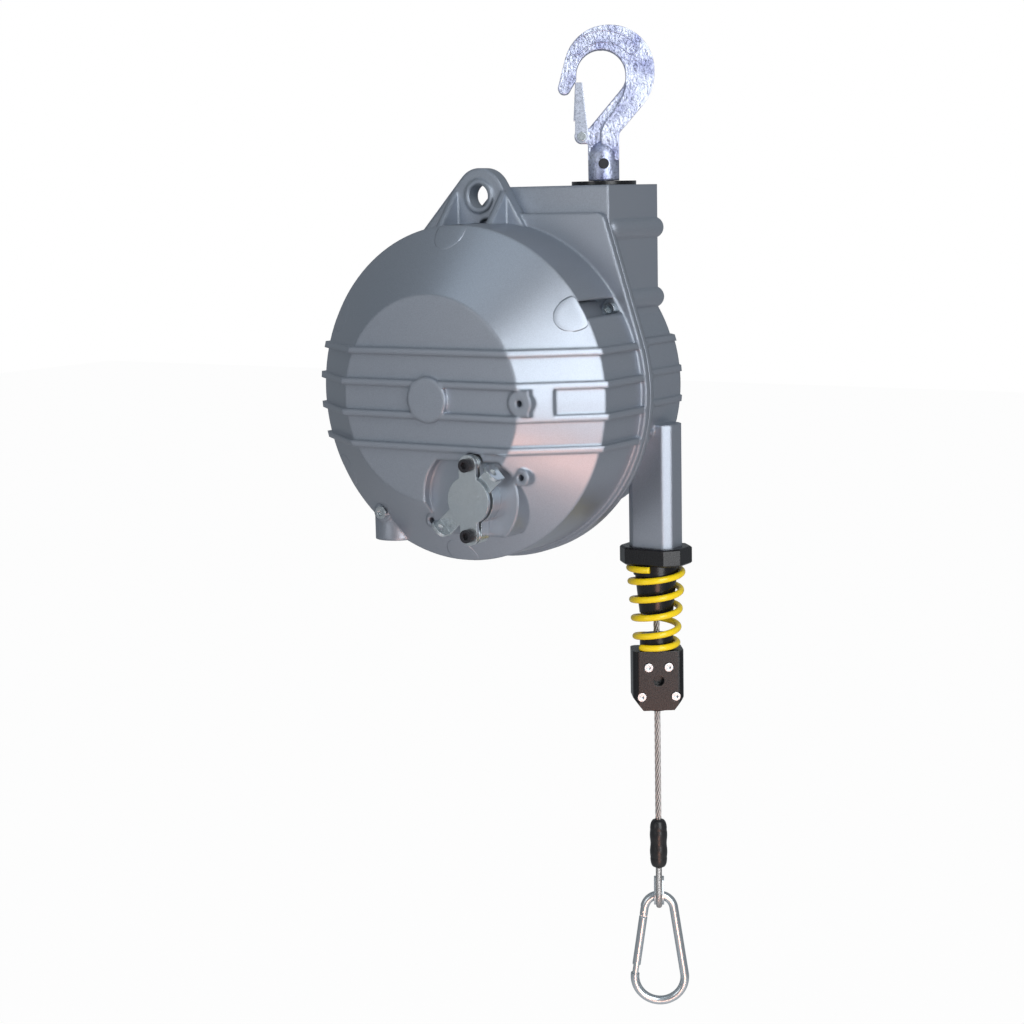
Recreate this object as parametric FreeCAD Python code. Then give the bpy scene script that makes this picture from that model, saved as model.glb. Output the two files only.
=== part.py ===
"""Tool balancer: die-cast spring housing with a swivel hook, a wound wire rope, an end stop and a carabiner.

Millimetres. Work frame: X to the right, Y to the rear, Z up, with the drum axis along Y and the flat face
of the front cover at Y = 0. Every solid is moved at the end so that the bowl of the hook is the origin.
"""
import FreeCAD, Part
import math
import os

V = FreeCAD.Vector

# ---------------------------------------------------------------- fits
RUN_FIT = 0.03           # radial clearance of a running fit
PRESS = 0.0              # a pressed or clamped seat touches
WALL = 4.5               # wall of the castings

# ---------------------------------------------------------------- rope, drum and the room round them
TURNS = 3                # turns of the drum over the whole travel
TRAVEL = 2000.0
ROPE_D = 5.0
ROPE_R = ROPE_D / 2
DRUM_R = TRAVEL / (2 * math.pi * TURNS)   # pitch radius of the rope
DRUM_ROOM_R = DRUM_R + 4.7                # inside of the drum chamber
CASE_R = DRUM_ROOM_R - 1.8                # spring case
SIDE_R = DRUM_ROOM_R + 19.0               # side wall of the cover at the flange
CONE_R = SIDE_R - 0.8                     # end of the cone
FLANGE_R = SIDE_R + 4.2
BAND_R = DRUM_ROOM_R + 6.2                # raised band between the outer ribs
CASE_DRAFT = 0.7                          # the cover is this much of a wall thinner on the slope

# ---------------------------------------------------------------- front cover
FACE_R = 78.5            # flat front face
CONE_Y = 42.0
FLANGE_T = 6.0           # cover flange
REAR_FLANGE_T = 5.5
SPLIT_Y = 100.5          # parting plane
RIB_W = 4.9
RIB_H = 3.4
RIB_Z = (36.0, 12.0, -12.0, -36.0)
BOSS_R = 17.2            # round boss in the middle of the face
BOSS_H = 4.0
BUSH_SEAT_R = 14.0       # blind bore for the shaft bush behind the boss
BUSH_WALL = 6.0
PAD_X = 81.0             # tapped pad between the middle ribs
PAD_R = 10.0
PAD_RIGHT = PAD_X + 8.0
PAD_H = 2.0
PAD_BLOCK = 11.5         # raised block beside the pad
TAP_R = 2.5              # core of an M6 thread
PAD_TAP = 7.0
GUARD_RIGHT = (75.2, -56.1)   # bosses for a guard over the brake
GUARD_LEFT = (-5.8, -93.4)
GUARD_RIGHT_R = 6.5
GUARD_LEFT_R = 5.5
GUARD_RIGHT_TAP = 8.0
GUARD_LEFT_TAP = 6.0
TOWER_RIGHT = 100.0      # side of the tower, which the flange follows
EAR_TOP = 136.0          # flange ear in front of the tower
EAR_LEFT = 20.0
EAR_RIGHT = TOWER_RIGHT - 2.5
EAR_CORNER_R = 8.0
FAR = 400.0              # reach of a cutting tool past everything

# ---------------------------------------------------------------- flange screws
SCREW_R = FLANGE_R - 10.0     # pitch circle
SCREW_ANGLES = (31.0, 91.0, 151.0, 211.0, 271.0)
TROUGH_R = 8.5           # trough that gives the key its way in
SEAT_Y = 93.0
M6_HEAD_R = 5.0
M6_HEAD_H = 6.0
M6_R = 3.0
M6_HEX = 5.0

# ---------------------------------------------------------------- safety eye
EYE_X = -8.5
EYE_Z = 150.0
EYE_BORE_R = 9.0
EYE_OUTER_R = 21.5
EYE_T = 12.0
EYE_LEGS = (-68.0, 36.0)
EYE_LEG_Z = 118.0
GUSSET_T = 5.0
GUSSET_X = (-31.0, 14.0)

# ---------------------------------------------------------------- rear housing and tower
REAR_WALL_T = 4.0
REAR_Y = 190.0
REAR_CHAMFER = 7.0
BAND_RIB_H = 1.6
TOWER_LEFT = 0.0
TOWER_BACK = 182.0
TOWER_TOP = 156.5
TOWER_HEAD = 12.0        # thick head that carries the hook
BEAD_Z = (123.0, 68.5)
BEAD_R = 8.5
BEAD_H = 4.5

# ---------------------------------------------------------------- swivel hook
HOOK_X = 75.0
HOOK_Y = 138.0
BOWL_Z = 259.0           # highest point inside the hook
STEM_R = 8.0
CROSS_PIN_R = 4.0
CROSS_PIN_UP = 13.3      # above the foot of the hook
SHANK_R = 12.0
WASHER_R = 25.0
WASHER_T = 3.0
THRUST_R = 20.0
THRUST_T = 13.0
NUT_AF = 30.0
NUT_H = 16.0
HOOK_TURN = 30.0         # turn of the hook about the swivel at rest
HOOK_T = 17.0            # thickness of the forging
HOOK_EDGE_R = 4.0        # rounding of the forging
HOOK_IN_R = 20.5
LATCH_PIN_U = -16.6      # pivot of the latch, from the swivel axis and from the bowl
LATCH_PIN_W = -65.3
LATCH_PIN_R = 2.0

# ---------------------------------------------------------------- rope outlet
GROOVE_PITCH = 6.5
ROPE_Y = 159.0
ROPE_X = DRUM_R
TUBE_W = 39.0
TUBE_D = 28.0
TUBE_CORNER = 6.0
TUBE_END = -131.0
TUBE_BORE_R = 11.0
COLLAR_W = 54.5
COLLAR_D = 40.0
COLLAR_CORNER = 10.0
COLLAR_H = 14.0
COLLAR_LAP = 3.0         # how far the collar reaches up round the tube
NOSE_R = 18.0
NOSE_TIP_R = 13.5
NOSE_H = 41.0
NOSE_BORE_R = 3.2

# ---------------------------------------------------------------- bumper spring and rope end
SPRING_WIRE = 4.2
SPRING_TOP_R = 21.0      # centre line of the wire
SPRING_LOW_R = 16.2
SPRING_TURNS = 4.0
CLAMP_GAP = 70.0         # from the collar to the shoulder of the stop clamp
CLAMP_W = 41.0
CLAMP_H = 50.0
CLAMP_T = 26.0
CLAMP_NECK_R = 13.5
CLAMP_NECK_H = 11.0
CLAMP_TURN = 35.0
M4_R = 2.0
M4_HEAD_R = 3.5
M4_HEAD_H = 4.0
SLEEVE_TOP = -355.0
SLEEVE_H = 40.0
SLEEVE_R = 7.2
EYE_ROPE_R = 9.6         # centre line of the rope round the thimble
EYE_BOTTOM = -430.0
THIMBLE_T = 1.6
CARABINER_TURN = 28.0
CARABINER_H = 98.0
CARABINER_WIRE_R = 3.6
GATE_PIN_R = 1.25
CARABINER_TOP_R = 12.0   # centre lines
CARABINER_LOW_R = 20.5

# ---------------------------------------------------------------- brake (drum lock)
LOCK_X = 39.0
LOCK_Z = -73.0
PLATFORM_X = 33.0
PLATFORM_Z = -73.5
PLATFORM_R = 39.5
PLATFORM_HALF = 28.5
PLATFORM_Y = 8.0
CAP_Y = -9.0
CAP_T = 3.0
CAP_R = 18.0
EAR_R = 7.5
EAR_DIST = 26.5
LEVER_T = 2.5
LEVER_REACH = 32.5
LEVER_HALF = 7.0
LEVER_EYE_R = 3.0
LEVER_EYE_DEPTH = 6.0
LEVER_ANGLE = 43.0
BOLT_R = 5.0
BOLT_STROKE = 7.0
BOLT_HEAD_R = 10.0
BOLT_HEAD_T = 1.5
LOCK_HOLES = 12

# ---------------------------------------------------------------- spring, shaft and adjuster
SHAFT_R = 10.0
WHEEL_MODULE = 2.5
WHEEL_TEETH = 44
WHEEL_Y = 48.0
WHEEL_T = 10.0
WORM_R = 11.8            # pitch radius
WORM_SHAFT_R = 6.0
WORM_BUSH_R = 11.0
WORM_BUSH_TOP = -90.0
WORM_TOP = 32.0
WORM_HALF = 21.0         # half length of the core
WORM_LOCK_Z = -94.0      # screw that holds the bush
BACKLASH = 1.7
WORM_BOSS_R = 17.5
WORM_BOSS_END = -117.0
CASE_FRONT = 68.0
CASE_BACK = 119.0
CASE_T = 3.0
LID_T = 6.0
SPRING_STRIP = 1.8
SPRING_COILS = 6
ARBOR_R = 30.0
DRUM_BACK = 168.0
BEARING_R = 21.0
BEARING_W = 12.0
BEARING_BALLS = 8
BEARING_RING = 3.3
BOLT_CIRCLE = 60.0       # screws between the spring case and the drum
BOLT_COUNT = 6
WEB_T = 12.0             # web of the drum

WHEEL_R = WHEEL_MODULE * WHEEL_TEETH / 2
WORM_X = -(WHEEL_R + WORM_R)
WORM_PITCH = math.pi * WHEEL_MODULE
COLLAR_END = TUBE_END - COLLAR_H + COLLAR_LAP
NOSE_END = COLLAR_END - NOSE_H
CLAMP_TOP = COLLAR_END - CLAMP_GAP
CLAMP_END = CLAMP_TOP - CLAMP_H
LOCK_PITCH_R = math.hypot(LOCK_X, LOCK_Z)
STEM_CLEAR = TOWER_TOP + WASHER_T
FRONT_BUSH = (6.0, 20.0)
REAR_BUSH = (DRUM_BACK + 4, REAR_Y - REAR_WALL_T)


# ================================================================ small helpers
def box(x0, x1, y0, y1, z0, z1):
    return Part.makeBox(x1 - x0, y1 - y0, z1 - z0, V(x0, y0, z0))


def rod(radius, start, end):
    """Cylinder between two points."""
    a = V(*start)
    b = V(*end)
    return Part.makeCylinder(radius, (b - a).Length, a, b - a)


def tube(outer, inner, start, end):
    return rod(outer, start, end).cut(rod(inner, start, end))


def lathe(points, axis="y", at=(0, 0, 0)):
    """Closed outline of (radius, height) pairs turned about the Y or Z axis through a point."""
    if axis == "y":
        corners = [V(r, h, 0) for r, h in points]
        direction = V(0, 1, 0)
    else:
        corners = [V(r, 0, h) for r, h in points]
        direction = V(0, 0, 1)
    wire = Part.makePolygon(corners + corners[:1])
    solid = Part.Face(wire).revolve(V(0, 0, 0), direction, 360)
    solid.translate(V(*at))
    return solid


def plate(points, y0, y1):
    """Flat outline of (x, z) corners, thick from y0 to y1."""
    corners = [V(x, y0, z) for x, z in points]
    face = Part.Face(Part.makePolygon(corners + corners[:1]))
    return face.extrude(V(0, y1 - y0, 0))


def octagon(width, depth, corner, z0, z1, x, y):
    """Upright bar with a rectangular section and cut corners."""
    a = width / 2
    b = depth / 2
    c = corner
    outline = [(a, b - c), (a - c, b), (c - a, b), (-a, b - c), (-a, c - b), (c - a, -b), (a - c, -b), (a, c - b)]
    corners = [V(x + u, y + v, z0) for u, v in outline]
    face = Part.Face(Part.makePolygon(corners + corners[:1]))
    return face.extrude(V(0, 0, z1 - z0))


def fuse(shapes):
    return shapes[0].multiFuse(shapes[1:]).removeSplitter()


def polar(radius, degrees):
    """(x, z) of a point on a circle round the drum axis."""
    angle = math.radians(degrees)
    return radius * math.cos(angle), radius * math.sin(angle)


def tangent_point(cx, cz, radius, px, pz, side):
    """Where the line from an outside point touches a circle; side is +1 or -1."""
    distance = math.hypot(px - cx, pz - cz)
    towards = math.atan2(pz - cz, px - cx)
    angle = towards + side * math.acos(radius / distance)
    return cx + radius * math.cos(angle), cz + radius * math.sin(angle)


def turned(shape, degrees, x, y):
    """Turned about an upright axis."""
    result = shape.copy()
    result.rotate(V(x, y, 0), V(0, 0, 1), degrees)
    return result


def cap_screw(radius, head_radius, head_height, length, hexagon, seat, direction):
    """Socket-head cap screw whose head sits on the seat point and whose shank follows the direction."""
    d = V(*direction).normalize()
    s = V(*seat)
    shank = Part.makeCylinder(radius, length, s, d)
    head = Part.makeCylinder(head_radius, head_height, s, d * -1)
    screw = shank.fuse(head).removeSplitter()
    return screw.cut(hexagon_bar(hexagon, head_height * 0.6, s - d * head_height, d))


def hexagon_bar(across_flats, length, start, direction):
    """Six-sided bar from a point along a direction."""
    radius = across_flats / math.sqrt(3)
    corners = [V(radius * math.cos(math.radians(a)), radius * math.sin(math.radians(a)), 0)
               for a in range(0, 360, 60)]
    bar = Part.Face(Part.makePolygon(corners + corners[:1])).extrude(V(0, 0, length))
    bar.Placement = FreeCAD.Placement(start, FreeCAD.Rotation(V(0, 0, 1), direction))
    return bar


def sweep(path_edges, section):
    """Solid of a closed section carried along a smooth path."""
    shell = Part.BRepOffsetAPI.MakePipeShell(Part.Wire(path_edges))
    shell.setTransitionMode(1)
    shell.add(section)
    shell.build()
    shell.makeSolid()
    return shell.shape()


def disc_wire(radius, centre, normal):
    return Part.Wire(Part.Circle(V(*centre), V(*normal), radius).toShape())


# ================================================================ castings
def cover_outline(grow):
    """Outer form of the cover: flat face, cone and side wall, grown by a rib height."""
    return [(0, -grow), (FACE_R + grow / 2, -grow), (CONE_R + grow, CONE_Y - grow / 3),
            (SIDE_R + grow, SPLIT_Y - FLANGE_T / 2), (0, SPLIT_Y - FLANGE_T / 2)]


def flange(y0, y1):
    """Round flange with the ear that covers the front of the tower."""
    disc = rod(FLANGE_R, (0, y0, 0), (0, y1, 0))
    low = tangent_point(0, 0, FLANGE_R, EAR_RIGHT, EAR_TOP, -1)
    ear = plate([(0, 0), (EAR_LEFT, EAR_TOP), (EAR_RIGHT, EAR_TOP), low], y0, y1)
    corner = [e for e in ear.Edges if all(abs(v.X - EAR_RIGHT) < 0.01 for v in e.Vertexes)
              and all(abs(v.Z - EAR_TOP) < 0.01 for v in e.Vertexes)]
    ear = ear.makeFillet(EAR_CORNER_R, corner)
    return disc.fuse(ear)


def screw_places():
    return [polar(SCREW_R, a) for a in SCREW_ANGLES]


def safety_eye():
    """Upright lug with a bored eye and two gussets, part of the front cover."""
    left = tangent_point(EYE_X, EYE_Z, EYE_OUTER_R, EYE_LEGS[0], EYE_LEG_Z, -1)
    right = tangent_point(EYE_X, EYE_Z, EYE_OUTER_R, EYE_LEGS[1], EYE_LEG_Z, 1)
    y0 = SPLIT_Y - EYE_T
    body = plate([(EYE_LEGS[0], EYE_LEG_Z - 15), (EYE_LEGS[0], EYE_LEG_Z), left, (EYE_X, EYE_Z), right,
                  (EYE_LEGS[1], EYE_LEG_Z), (EYE_LEGS[1], EYE_LEG_Z - 15)], y0, SPLIT_Y)
    eye = rod(EYE_OUTER_R, (EYE_X, y0, EYE_Z), (EYE_X, SPLIT_Y, EYE_Z))
    ring = rod(EYE_BORE_R + 4, (EYE_X, y0 - 1.5, EYE_Z), (EYE_X, y0, EYE_Z))
    parts = [body, eye, ring]
    for x in GUSSET_X:
        corners = [V(x - GUSSET_T / 2, y0, EYE_Z + 4), V(x - GUSSET_T / 2, y0 - 30, CONE_R - 8),
                   V(x - GUSSET_T / 2, y0, CONE_R - 12)]
        face = Part.Face(Part.makePolygon(corners + corners[:1]))
        parts.append(face.extrude(V(GUSSET_T, 0, 0)))
    return fuse(parts)


def cover_cavity():
    """Inside of the cover, less the bosses that stay solid."""
    slope = WALL * CASE_DRAFT
    cavity = lathe([(0, WALL), (FACE_R - slope / 2, WALL), (CONE_R - WALL, CONE_Y + slope / 2),
                    (SIDE_R - WALL, SPLIT_Y + 1), (0, SPLIT_Y + 1)])
    for x, z in screw_places():
        cavity = cavity.cut(rod(TROUGH_R + WALL - 1, (x, 0, z), (x, SPLIT_Y + 2, z)))
    cavity = cavity.cut(rod(PLATFORM_R + WALL, (PLATFORM_X, 0, PLATFORM_Z),
                            (PLATFORM_X, PLATFORM_Y + WALL, PLATFORM_Z)))
    cavity = cavity.cut(rod(BOLT_R + 5, (LOCK_X, 0, LOCK_Z), (LOCK_X, CASE_FRONT - 12, LOCK_Z)))
    cavity = cavity.cut(rod(BUSH_SEAT_R + BUSH_WALL, (0, 0, 0), (0, FRONT_BUSH[1], 0)))
    return cavity


def brake_platform():
    """Round platform with a flat top and bottom that carries the brake."""
    disc = rod(PLATFORM_R, (PLATFORM_X, PLATFORM_Y, PLATFORM_Z), (PLATFORM_X, CONE_Y, PLATFORM_Z))
    band = box(-FAR, FAR, PLATFORM_Y, CONE_Y, PLATFORM_Z - PLATFORM_HALF, PLATFORM_Z + PLATFORM_HALF)
    return disc.common(band)


def front_cover():
    outer = lathe(cover_outline(0))
    ribs = lathe(cover_outline(RIB_H))
    parts = [outer, flange(SPLIT_Y - FLANGE_T, SPLIT_Y), safety_eye(), brake_platform()]
    for z in RIB_Z:
        parts.append(ribs.common(box(-FAR, FAR, -20, SPLIT_Y, z - RIB_W / 2, z + RIB_W / 2)))
    parts.append(ribs.common(box(PAD_RIGHT - 1, PAD_RIGHT + PAD_BLOCK, -20, CONE_Y, RIB_Z[2], RIB_Z[1])))
    parts.append(rod(BOSS_R, (0, -BOSS_H, 0), (0, 1, 0)))
    parts.append(rod(PAD_R, (PAD_X, -PAD_H, 0), (PAD_X, 12, 0)))
    parts.append(box(PAD_X, PAD_RIGHT, -PAD_H, 12, -PAD_R, PAD_R))
    for (x, z), radius in ((GUARD_RIGHT, GUARD_RIGHT_R), (GUARD_LEFT, GUARD_LEFT_R)):
        parts.append(rod(radius, (x, PLATFORM_Y, z), (x, PLATFORM_Y + 14, z)))
    boss = rod(WORM_BOSS_R, (WORM_X, WHEEL_Y, WORM_BOSS_END), (WORM_X, WHEEL_Y, WORM_BUSH_TOP + 10))
    pad = rod(8, (WORM_X, WHEEL_Y - WORM_BOSS_R - 2, WORM_LOCK_Z), (WORM_X, WHEEL_Y, WORM_LOCK_Z))
    parts += [boss, pad]
    cover = fuse(parts)
    recess = rod(PLATFORM_R, (PLATFORM_X, -20, PLATFORM_Z), (PLATFORM_X, PLATFORM_Y, PLATFORM_Z))
    keep = box(-FAR, FAR, -20, PLATFORM_Y, PLATFORM_Z - PLATFORM_HALF, PLATFORM_Z + PLATFORM_HALF)
    cover = cover.cut(recess.common(keep))
    for x, z in lock_screw_places():
        cover = cover.cut(rod(EAR_R + 1, (x, -20, z), (x, PLATFORM_Y, z)))
    cavity = cover_cavity()
    cavity = cavity.cut(boss)
    cavity = cavity.cut(box(WORM_X - 13, WORM_X + 12, 0, WHEEL_Y + 10, WORM_HALF + 2, WORM_TOP + 1))
    cover = cover.cut(cavity)
    cuts = [rod(EYE_BORE_R, (EYE_X, 60, EYE_Z), (EYE_X, SPLIT_Y + 1, EYE_Z))]
    for x, z in screw_places():
        cuts.append(rod(TROUGH_R, (x, -20, z), (x, SEAT_Y, z)))
        cuts.append(rod(M6_R + 0.3, (x, SEAT_Y, z), (x, SPLIT_Y + 1, z)))
    cuts.append(rod(WORM_BUSH_R + PRESS, (WORM_X, WHEEL_Y, WORM_BOSS_END - 1), (WORM_X, WHEEL_Y, WORM_BUSH_TOP)))
    cuts.append(rod(WORM_SHAFT_R + 1.5, (WORM_X, WHEEL_Y, WORM_BUSH_TOP - 1), (WORM_X, WHEEL_Y, WORM_BUSH_TOP + 11)))
    cuts.append(rod(WORM_SHAFT_R + RUN_FIT, (WORM_X, WHEEL_Y, WORM_HALF + 1), (WORM_X, WHEEL_Y, WORM_TOP + 2)))
    cuts.append(rod(M6_R, (WORM_X, 20, WORM_LOCK_Z), (WORM_X, WHEEL_Y - WORM_BUSH_R + 2, WORM_LOCK_Z)))
    cuts.append(rod(M6_HEAD_R + 1.8, (WORM_X, -20, WORM_LOCK_Z), (WORM_X, WHEEL_Y - WORM_BOSS_R - 2, WORM_LOCK_Z)))
    cuts.append(rod(BUSH_SEAT_R, (0, FRONT_BUSH[0], 0), (0, FRONT_BUSH[1] + 1, 0)))
    cuts.append(rod(BOLT_R + RUN_FIT, (LOCK_X, 0, LOCK_Z), (LOCK_X, CASE_FRONT, LOCK_Z)))
    for side in (-1, 1):
        z = LOCK_Z + side * EAR_DIST
        cuts.append(rod(M6_R, (LOCK_X, PLATFORM_Y - 1, z), (LOCK_X, PLATFORM_Y + WALL - 1, z)))
    cuts.append(rod(TAP_R, (PAD_X, -20, 0), (PAD_X, PAD_TAP - PAD_H, 0)))
    for (x, z), depth in ((GUARD_RIGHT, GUARD_RIGHT_TAP), (GUARD_LEFT, GUARD_LEFT_TAP)):
        cuts.append(rod(TAP_R, (x, -20, z), (x, PLATFORM_Y + depth, z)))
    for tool in cuts:
        cover = cover.cut(tool)
    return cover


def tower_form(inset):
    """Outline of the tower that carries the hook, drawn in by a wall."""
    right = TOWER_RIGHT - inset
    left = TOWER_LEFT + inset
    top = TOWER_TOP if inset == 0 else TOWER_TOP - TOWER_HEAD
    foot = left - 40
    y0 = SPLIT_Y + inset
    y1 = TOWER_BACK - inset
    return plate([(right, -20), (right, top), (left, top), (foot, top - 40), (foot, -20)], y0, y1)


def bead(z):
    """Half-round band round the right side and the back of the tower."""
    x = TOWER_RIGHT - BEAD_R + BEAD_H
    y = TOWER_BACK - BEAD_R + BEAD_H
    start = SPLIT_Y + REAR_FLANGE_T + 4
    side = rod(BEAD_R, (x, start, z), (x, y, z))
    back = rod(BEAD_R, (x, y, z), (TOWER_LEFT + 6, y, z))
    corner = Part.makeSphere(BEAD_R, V(x, y, z))
    end = Part.makeSphere(BEAD_R, V(x, start, z))
    return fuse([side, back, corner, end])


def rear_housing():
    outer_r = DRUM_ROOM_R + REAR_WALL_T
    step_y = SPLIT_Y + REAR_FLANGE_T
    chamber = lathe([(0, SPLIT_Y), (FLANGE_R - 3, SPLIT_Y), (FLANGE_R - 5, step_y + 2), (outer_r, step_y + 11),
                     (outer_r, REAR_Y - REAR_CHAMFER), (outer_r - REAR_CHAMFER, REAR_Y), (0, REAR_Y)])
    band = lathe([(0, SPLIT_Y), (FLANGE_R - 2, SPLIT_Y), (FLANGE_R - 3, step_y + 3), (BAND_R, step_y + 12),
                  (BAND_R, REAR_Y - REAR_CHAMFER), (BAND_R - 8, REAR_Y + 1), (0, REAR_Y + 1)])
    band_z = RIB_Z[0] + RIB_W / 2
    band = band.common(box(-FAR, FAR, 0, FAR, -band_z, band_z))
    rib_form = lathe([(0, SPLIT_Y), (FLANGE_R - 0.5, SPLIT_Y), (FLANGE_R - 1, step_y + 4),
                      (BAND_R + BAND_RIB_H, step_y + 13), (BAND_R + BAND_RIB_H, REAR_Y - REAR_CHAMFER),
                      (BAND_R - 6, REAR_Y + 2.5), (0, REAR_Y + 2.5)])
    tower = tower_form(0)
    upright = [e for e in tower.Edges if abs(e.Vertexes[0].X - TOWER_RIGHT) < 0.1
               and abs(e.Vertexes[1].X - TOWER_RIGHT) < 0.1 and abs(e.Vertexes[0].Y - TOWER_BACK) < 0.1
               and abs(e.Vertexes[1].Y - TOWER_BACK) < 0.1]
    tower = tower.makeFillet(5, upright)
    parts = [chamber, band, flange(SPLIT_Y, step_y), tower]
    for z in RIB_Z:
        parts.append(rib_form.common(box(-FAR, FAR, 0, FAR, z - RIB_W / 2, z + RIB_W / 2)))
    for z in BEAD_Z:
        parts.append(bead(z))
    parts.append(octagon(TUBE_W, TUBE_D, TUBE_CORNER, TUBE_END, -30, ROPE_X, ROPE_Y))
    housing = fuse(parts)
    room = rod(DRUM_ROOM_R, (0, SPLIT_Y - 1, 0), (0, REAR_Y - REAR_WALL_T - 1, 0))
    room = room.fuse(lathe([(0, SPLIT_Y - 1), (SIDE_R - WALL, SPLIT_Y - 1), (DRUM_ROOM_R, step_y + 10),
                            (0, step_y + 10)]))
    hub = rod(BUSH_SEAT_R + 8, (0, DRUM_BACK + 4, 0), (0, REAR_Y, 0))
    for x, z in screw_places():
        room = room.cut(rod(M6_R + 5, (x, SPLIT_Y - 1, z), (x, SPLIT_Y + 16, z)))
    hollow = tower_form(WALL).fuse(room)
    hollow = hollow.cut(hub)
    head = box(HOOK_X - THRUST_R - 6, TOWER_RIGHT, SPLIT_Y, TOWER_BACK, TOWER_TOP - TOWER_HEAD, TOWER_TOP)
    hollow = hollow.cut(head)
    housing = housing.cut(hollow)
    slot = box(ROPE_X - 4, ROPE_X + 4, ROPE_Y - 4 - TURNS * GROOVE_PITCH, ROPE_Y + 4, -60, 0)
    cuts = [rod(TUBE_BORE_R, (ROPE_X, ROPE_Y, TUBE_END - 1), (ROPE_X, ROPE_Y, -50)),
            slot.common(rod(DRUM_ROOM_R, (0, 100, 0), (0, 200, 0))),
            rod(5, (ROPE_X, ROPE_Y, -60), (ROPE_X, ROPE_Y, -20)),
            rod(STEM_R + 0.5, (HOOK_X, HOOK_Y, TOWER_TOP - 40), (HOOK_X, HOOK_Y, TOWER_TOP + 1)),
            rod(BUSH_SEAT_R, (0, DRUM_BACK, 0), (0, REAR_Y - REAR_WALL_T, 0))]
    for x, z in screw_places():
        cuts.append(rod(M6_R, (x, SPLIT_Y - 1, z), (x, SPLIT_Y + 13, z)))
    for tool in cuts:
        housing = housing.cut(tool)
    return housing


def cover_screws():
    screws = [cap_screw(M6_R, M6_HEAD_R, M6_HEAD_H, 18, M6_HEX, (x, SEAT_Y, z), (0, 1, 0))
              for x, z in screw_places()]
    return Part.makeCompound(screws)


# ================================================================ swivel hook
def hook_frame(shape):
    """From the hook's own upright plane (u across, w up from the bowl) to its place on the swivel."""
    result = shape.copy()
    result.translate(V(HOOK_X, HOOK_Y, BOWL_Z))
    return turned(result, HOOK_TURN, HOOK_X, HOOK_Y)


def hook_outline():
    """Side view of the hook: inner bowl, heel, latch boss, shank, back and tip."""
    r = HOOK_IN_R
    shank = SHANK_R - 0.5

    def at(u, w):
        return V(u, -HOOK_T / 2, w)
    arcs = [
        Part.Arc(at(-r, -r), at(0, 0), at(r, -r)).toShape(),
        Part.Arc(at(r, -r), at(15.5, -41), at(-7, -57)).toShape(),
        Part.makeLine(at(-7, -57), at(-14, -59)),
        Part.Arc(at(-14, -59), at(-23.2, -66), at(-15, -72.5)).toShape(),
        Part.makeLine(at(-15, -72.5), at(-shank, -79)),
        Part.makeLine(at(-shank, -79), at(-shank, -84)),
        Part.makeLine(at(-shank, -84), at(shank, -84)),
        Part.makeLine(at(shank, -84), at(shank, -77)),
        Part.Arc(at(shank, -77), at(31.5, -53), at(40.8, -17)).toShape(),
        Part.Arc(at(40.8, -17), at(5.4, 18.4), at(-30, -17)).toShape(),
        Part.Arc(at(-30, -17), at(-33.2, -27), at(-31.5, -35)).toShape(),
        Part.makeLine(at(-31.5, -35), at(-28, -34.5)),
        Part.Arc(at(-28, -34.5), at(-25.2, -28), at(-r, -r)).toShape(),
    ]
    return Part.Face(Part.Wire(arcs))


def hook_edges(body, side):
    """Long edges of the two flat sides, round the bowl (inner) or round the back (outer)."""
    middle = V(5, 0, -20)
    chosen = []
    for edge in body.Edges:
        flat = abs(edge.Vertexes[0].Y - edge.Vertexes[-1].Y) < 0.1
        a, b = edge.Vertexes[0].Point, edge.Vertexes[-1].Point
        centre = edge.valueAt((edge.FirstParameter + edge.LastParameter) / 2)
        reach = V(centre.x - middle.x, 0, centre.z - middle.z).Length
        inner = reach < 26 and a.z > -58 and b.z > -60 and max(a.x, b.x) > -8
        outer = reach > 30 and max(a.z, b.z) > -20 and edge.Length > 17
        if flat and (inner if side == "inner" else outer):
            chosen.append(edge)
    return chosen


def load_hook():
    """Forged hook with a round socket for the stem and a milled slot for the latch."""
    body = hook_outline().extrude(V(0, HOOK_T, 0))
    body = body.makeFillet(HOOK_EDGE_R, hook_edges(body, "inner"))
    body = body.makeFillet(HOOK_EDGE_R, hook_edges(body, "outer"))
    low = STEM_CLEAR + 0.3 - BOWL_Z
    shank = rod(SHANK_R, (0, 0, low), (0, 0, -78))
    collar = Part.makeCone(SHANK_R, 7, 10, V(0, 0, -78), V(0, 0, 1))
    body = fuse([body, shank, collar])
    cheek = box(-40, -4.5, 4.2, 20, -74, -49)
    body = body.cut(cheek)
    body = body.cut(cheek.mirror(V(0, 0, 0), V(0, 1, 0)))
    body = body.cut(rod(STEM_R, (0, 0, low - 1), (0, 0, -80)))
    pin_z = STEM_CLEAR + CROSS_PIN_UP - BOWL_Z
    body = body.cut(rod(CROSS_PIN_R, (0, -30, pin_z), (0, 30, pin_z)))
    body = body.cut(rod(LATCH_PIN_R, (LATCH_PIN_U, -12, LATCH_PIN_W), (LATCH_PIN_U, 12, LATCH_PIN_W)))
    return hook_frame(body)


def hook_stem():
    """Stem through the swivel, with a cross bore for the pin."""
    low = TOWER_TOP - TOWER_HEAD - THRUST_T - NUT_H - 4
    stem = rod(STEM_R, (HOOK_X, HOOK_Y, low), (HOOK_X, HOOK_Y, BOWL_Z - 80))
    pin_z = STEM_CLEAR + CROSS_PIN_UP - BOWL_Z
    bore = rod(CROSS_PIN_R, (0, -30, pin_z), (0, 30, pin_z))
    return stem.cut(hook_frame(bore))


def hook_cross_pin():
    z = STEM_CLEAR + CROSS_PIN_UP - BOWL_Z
    pin = rod(CROSS_PIN_R, (0, -SHANK_R - 0.6, z), (0, SHANK_R + 0.6, z))
    return hook_frame(pin)


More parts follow.
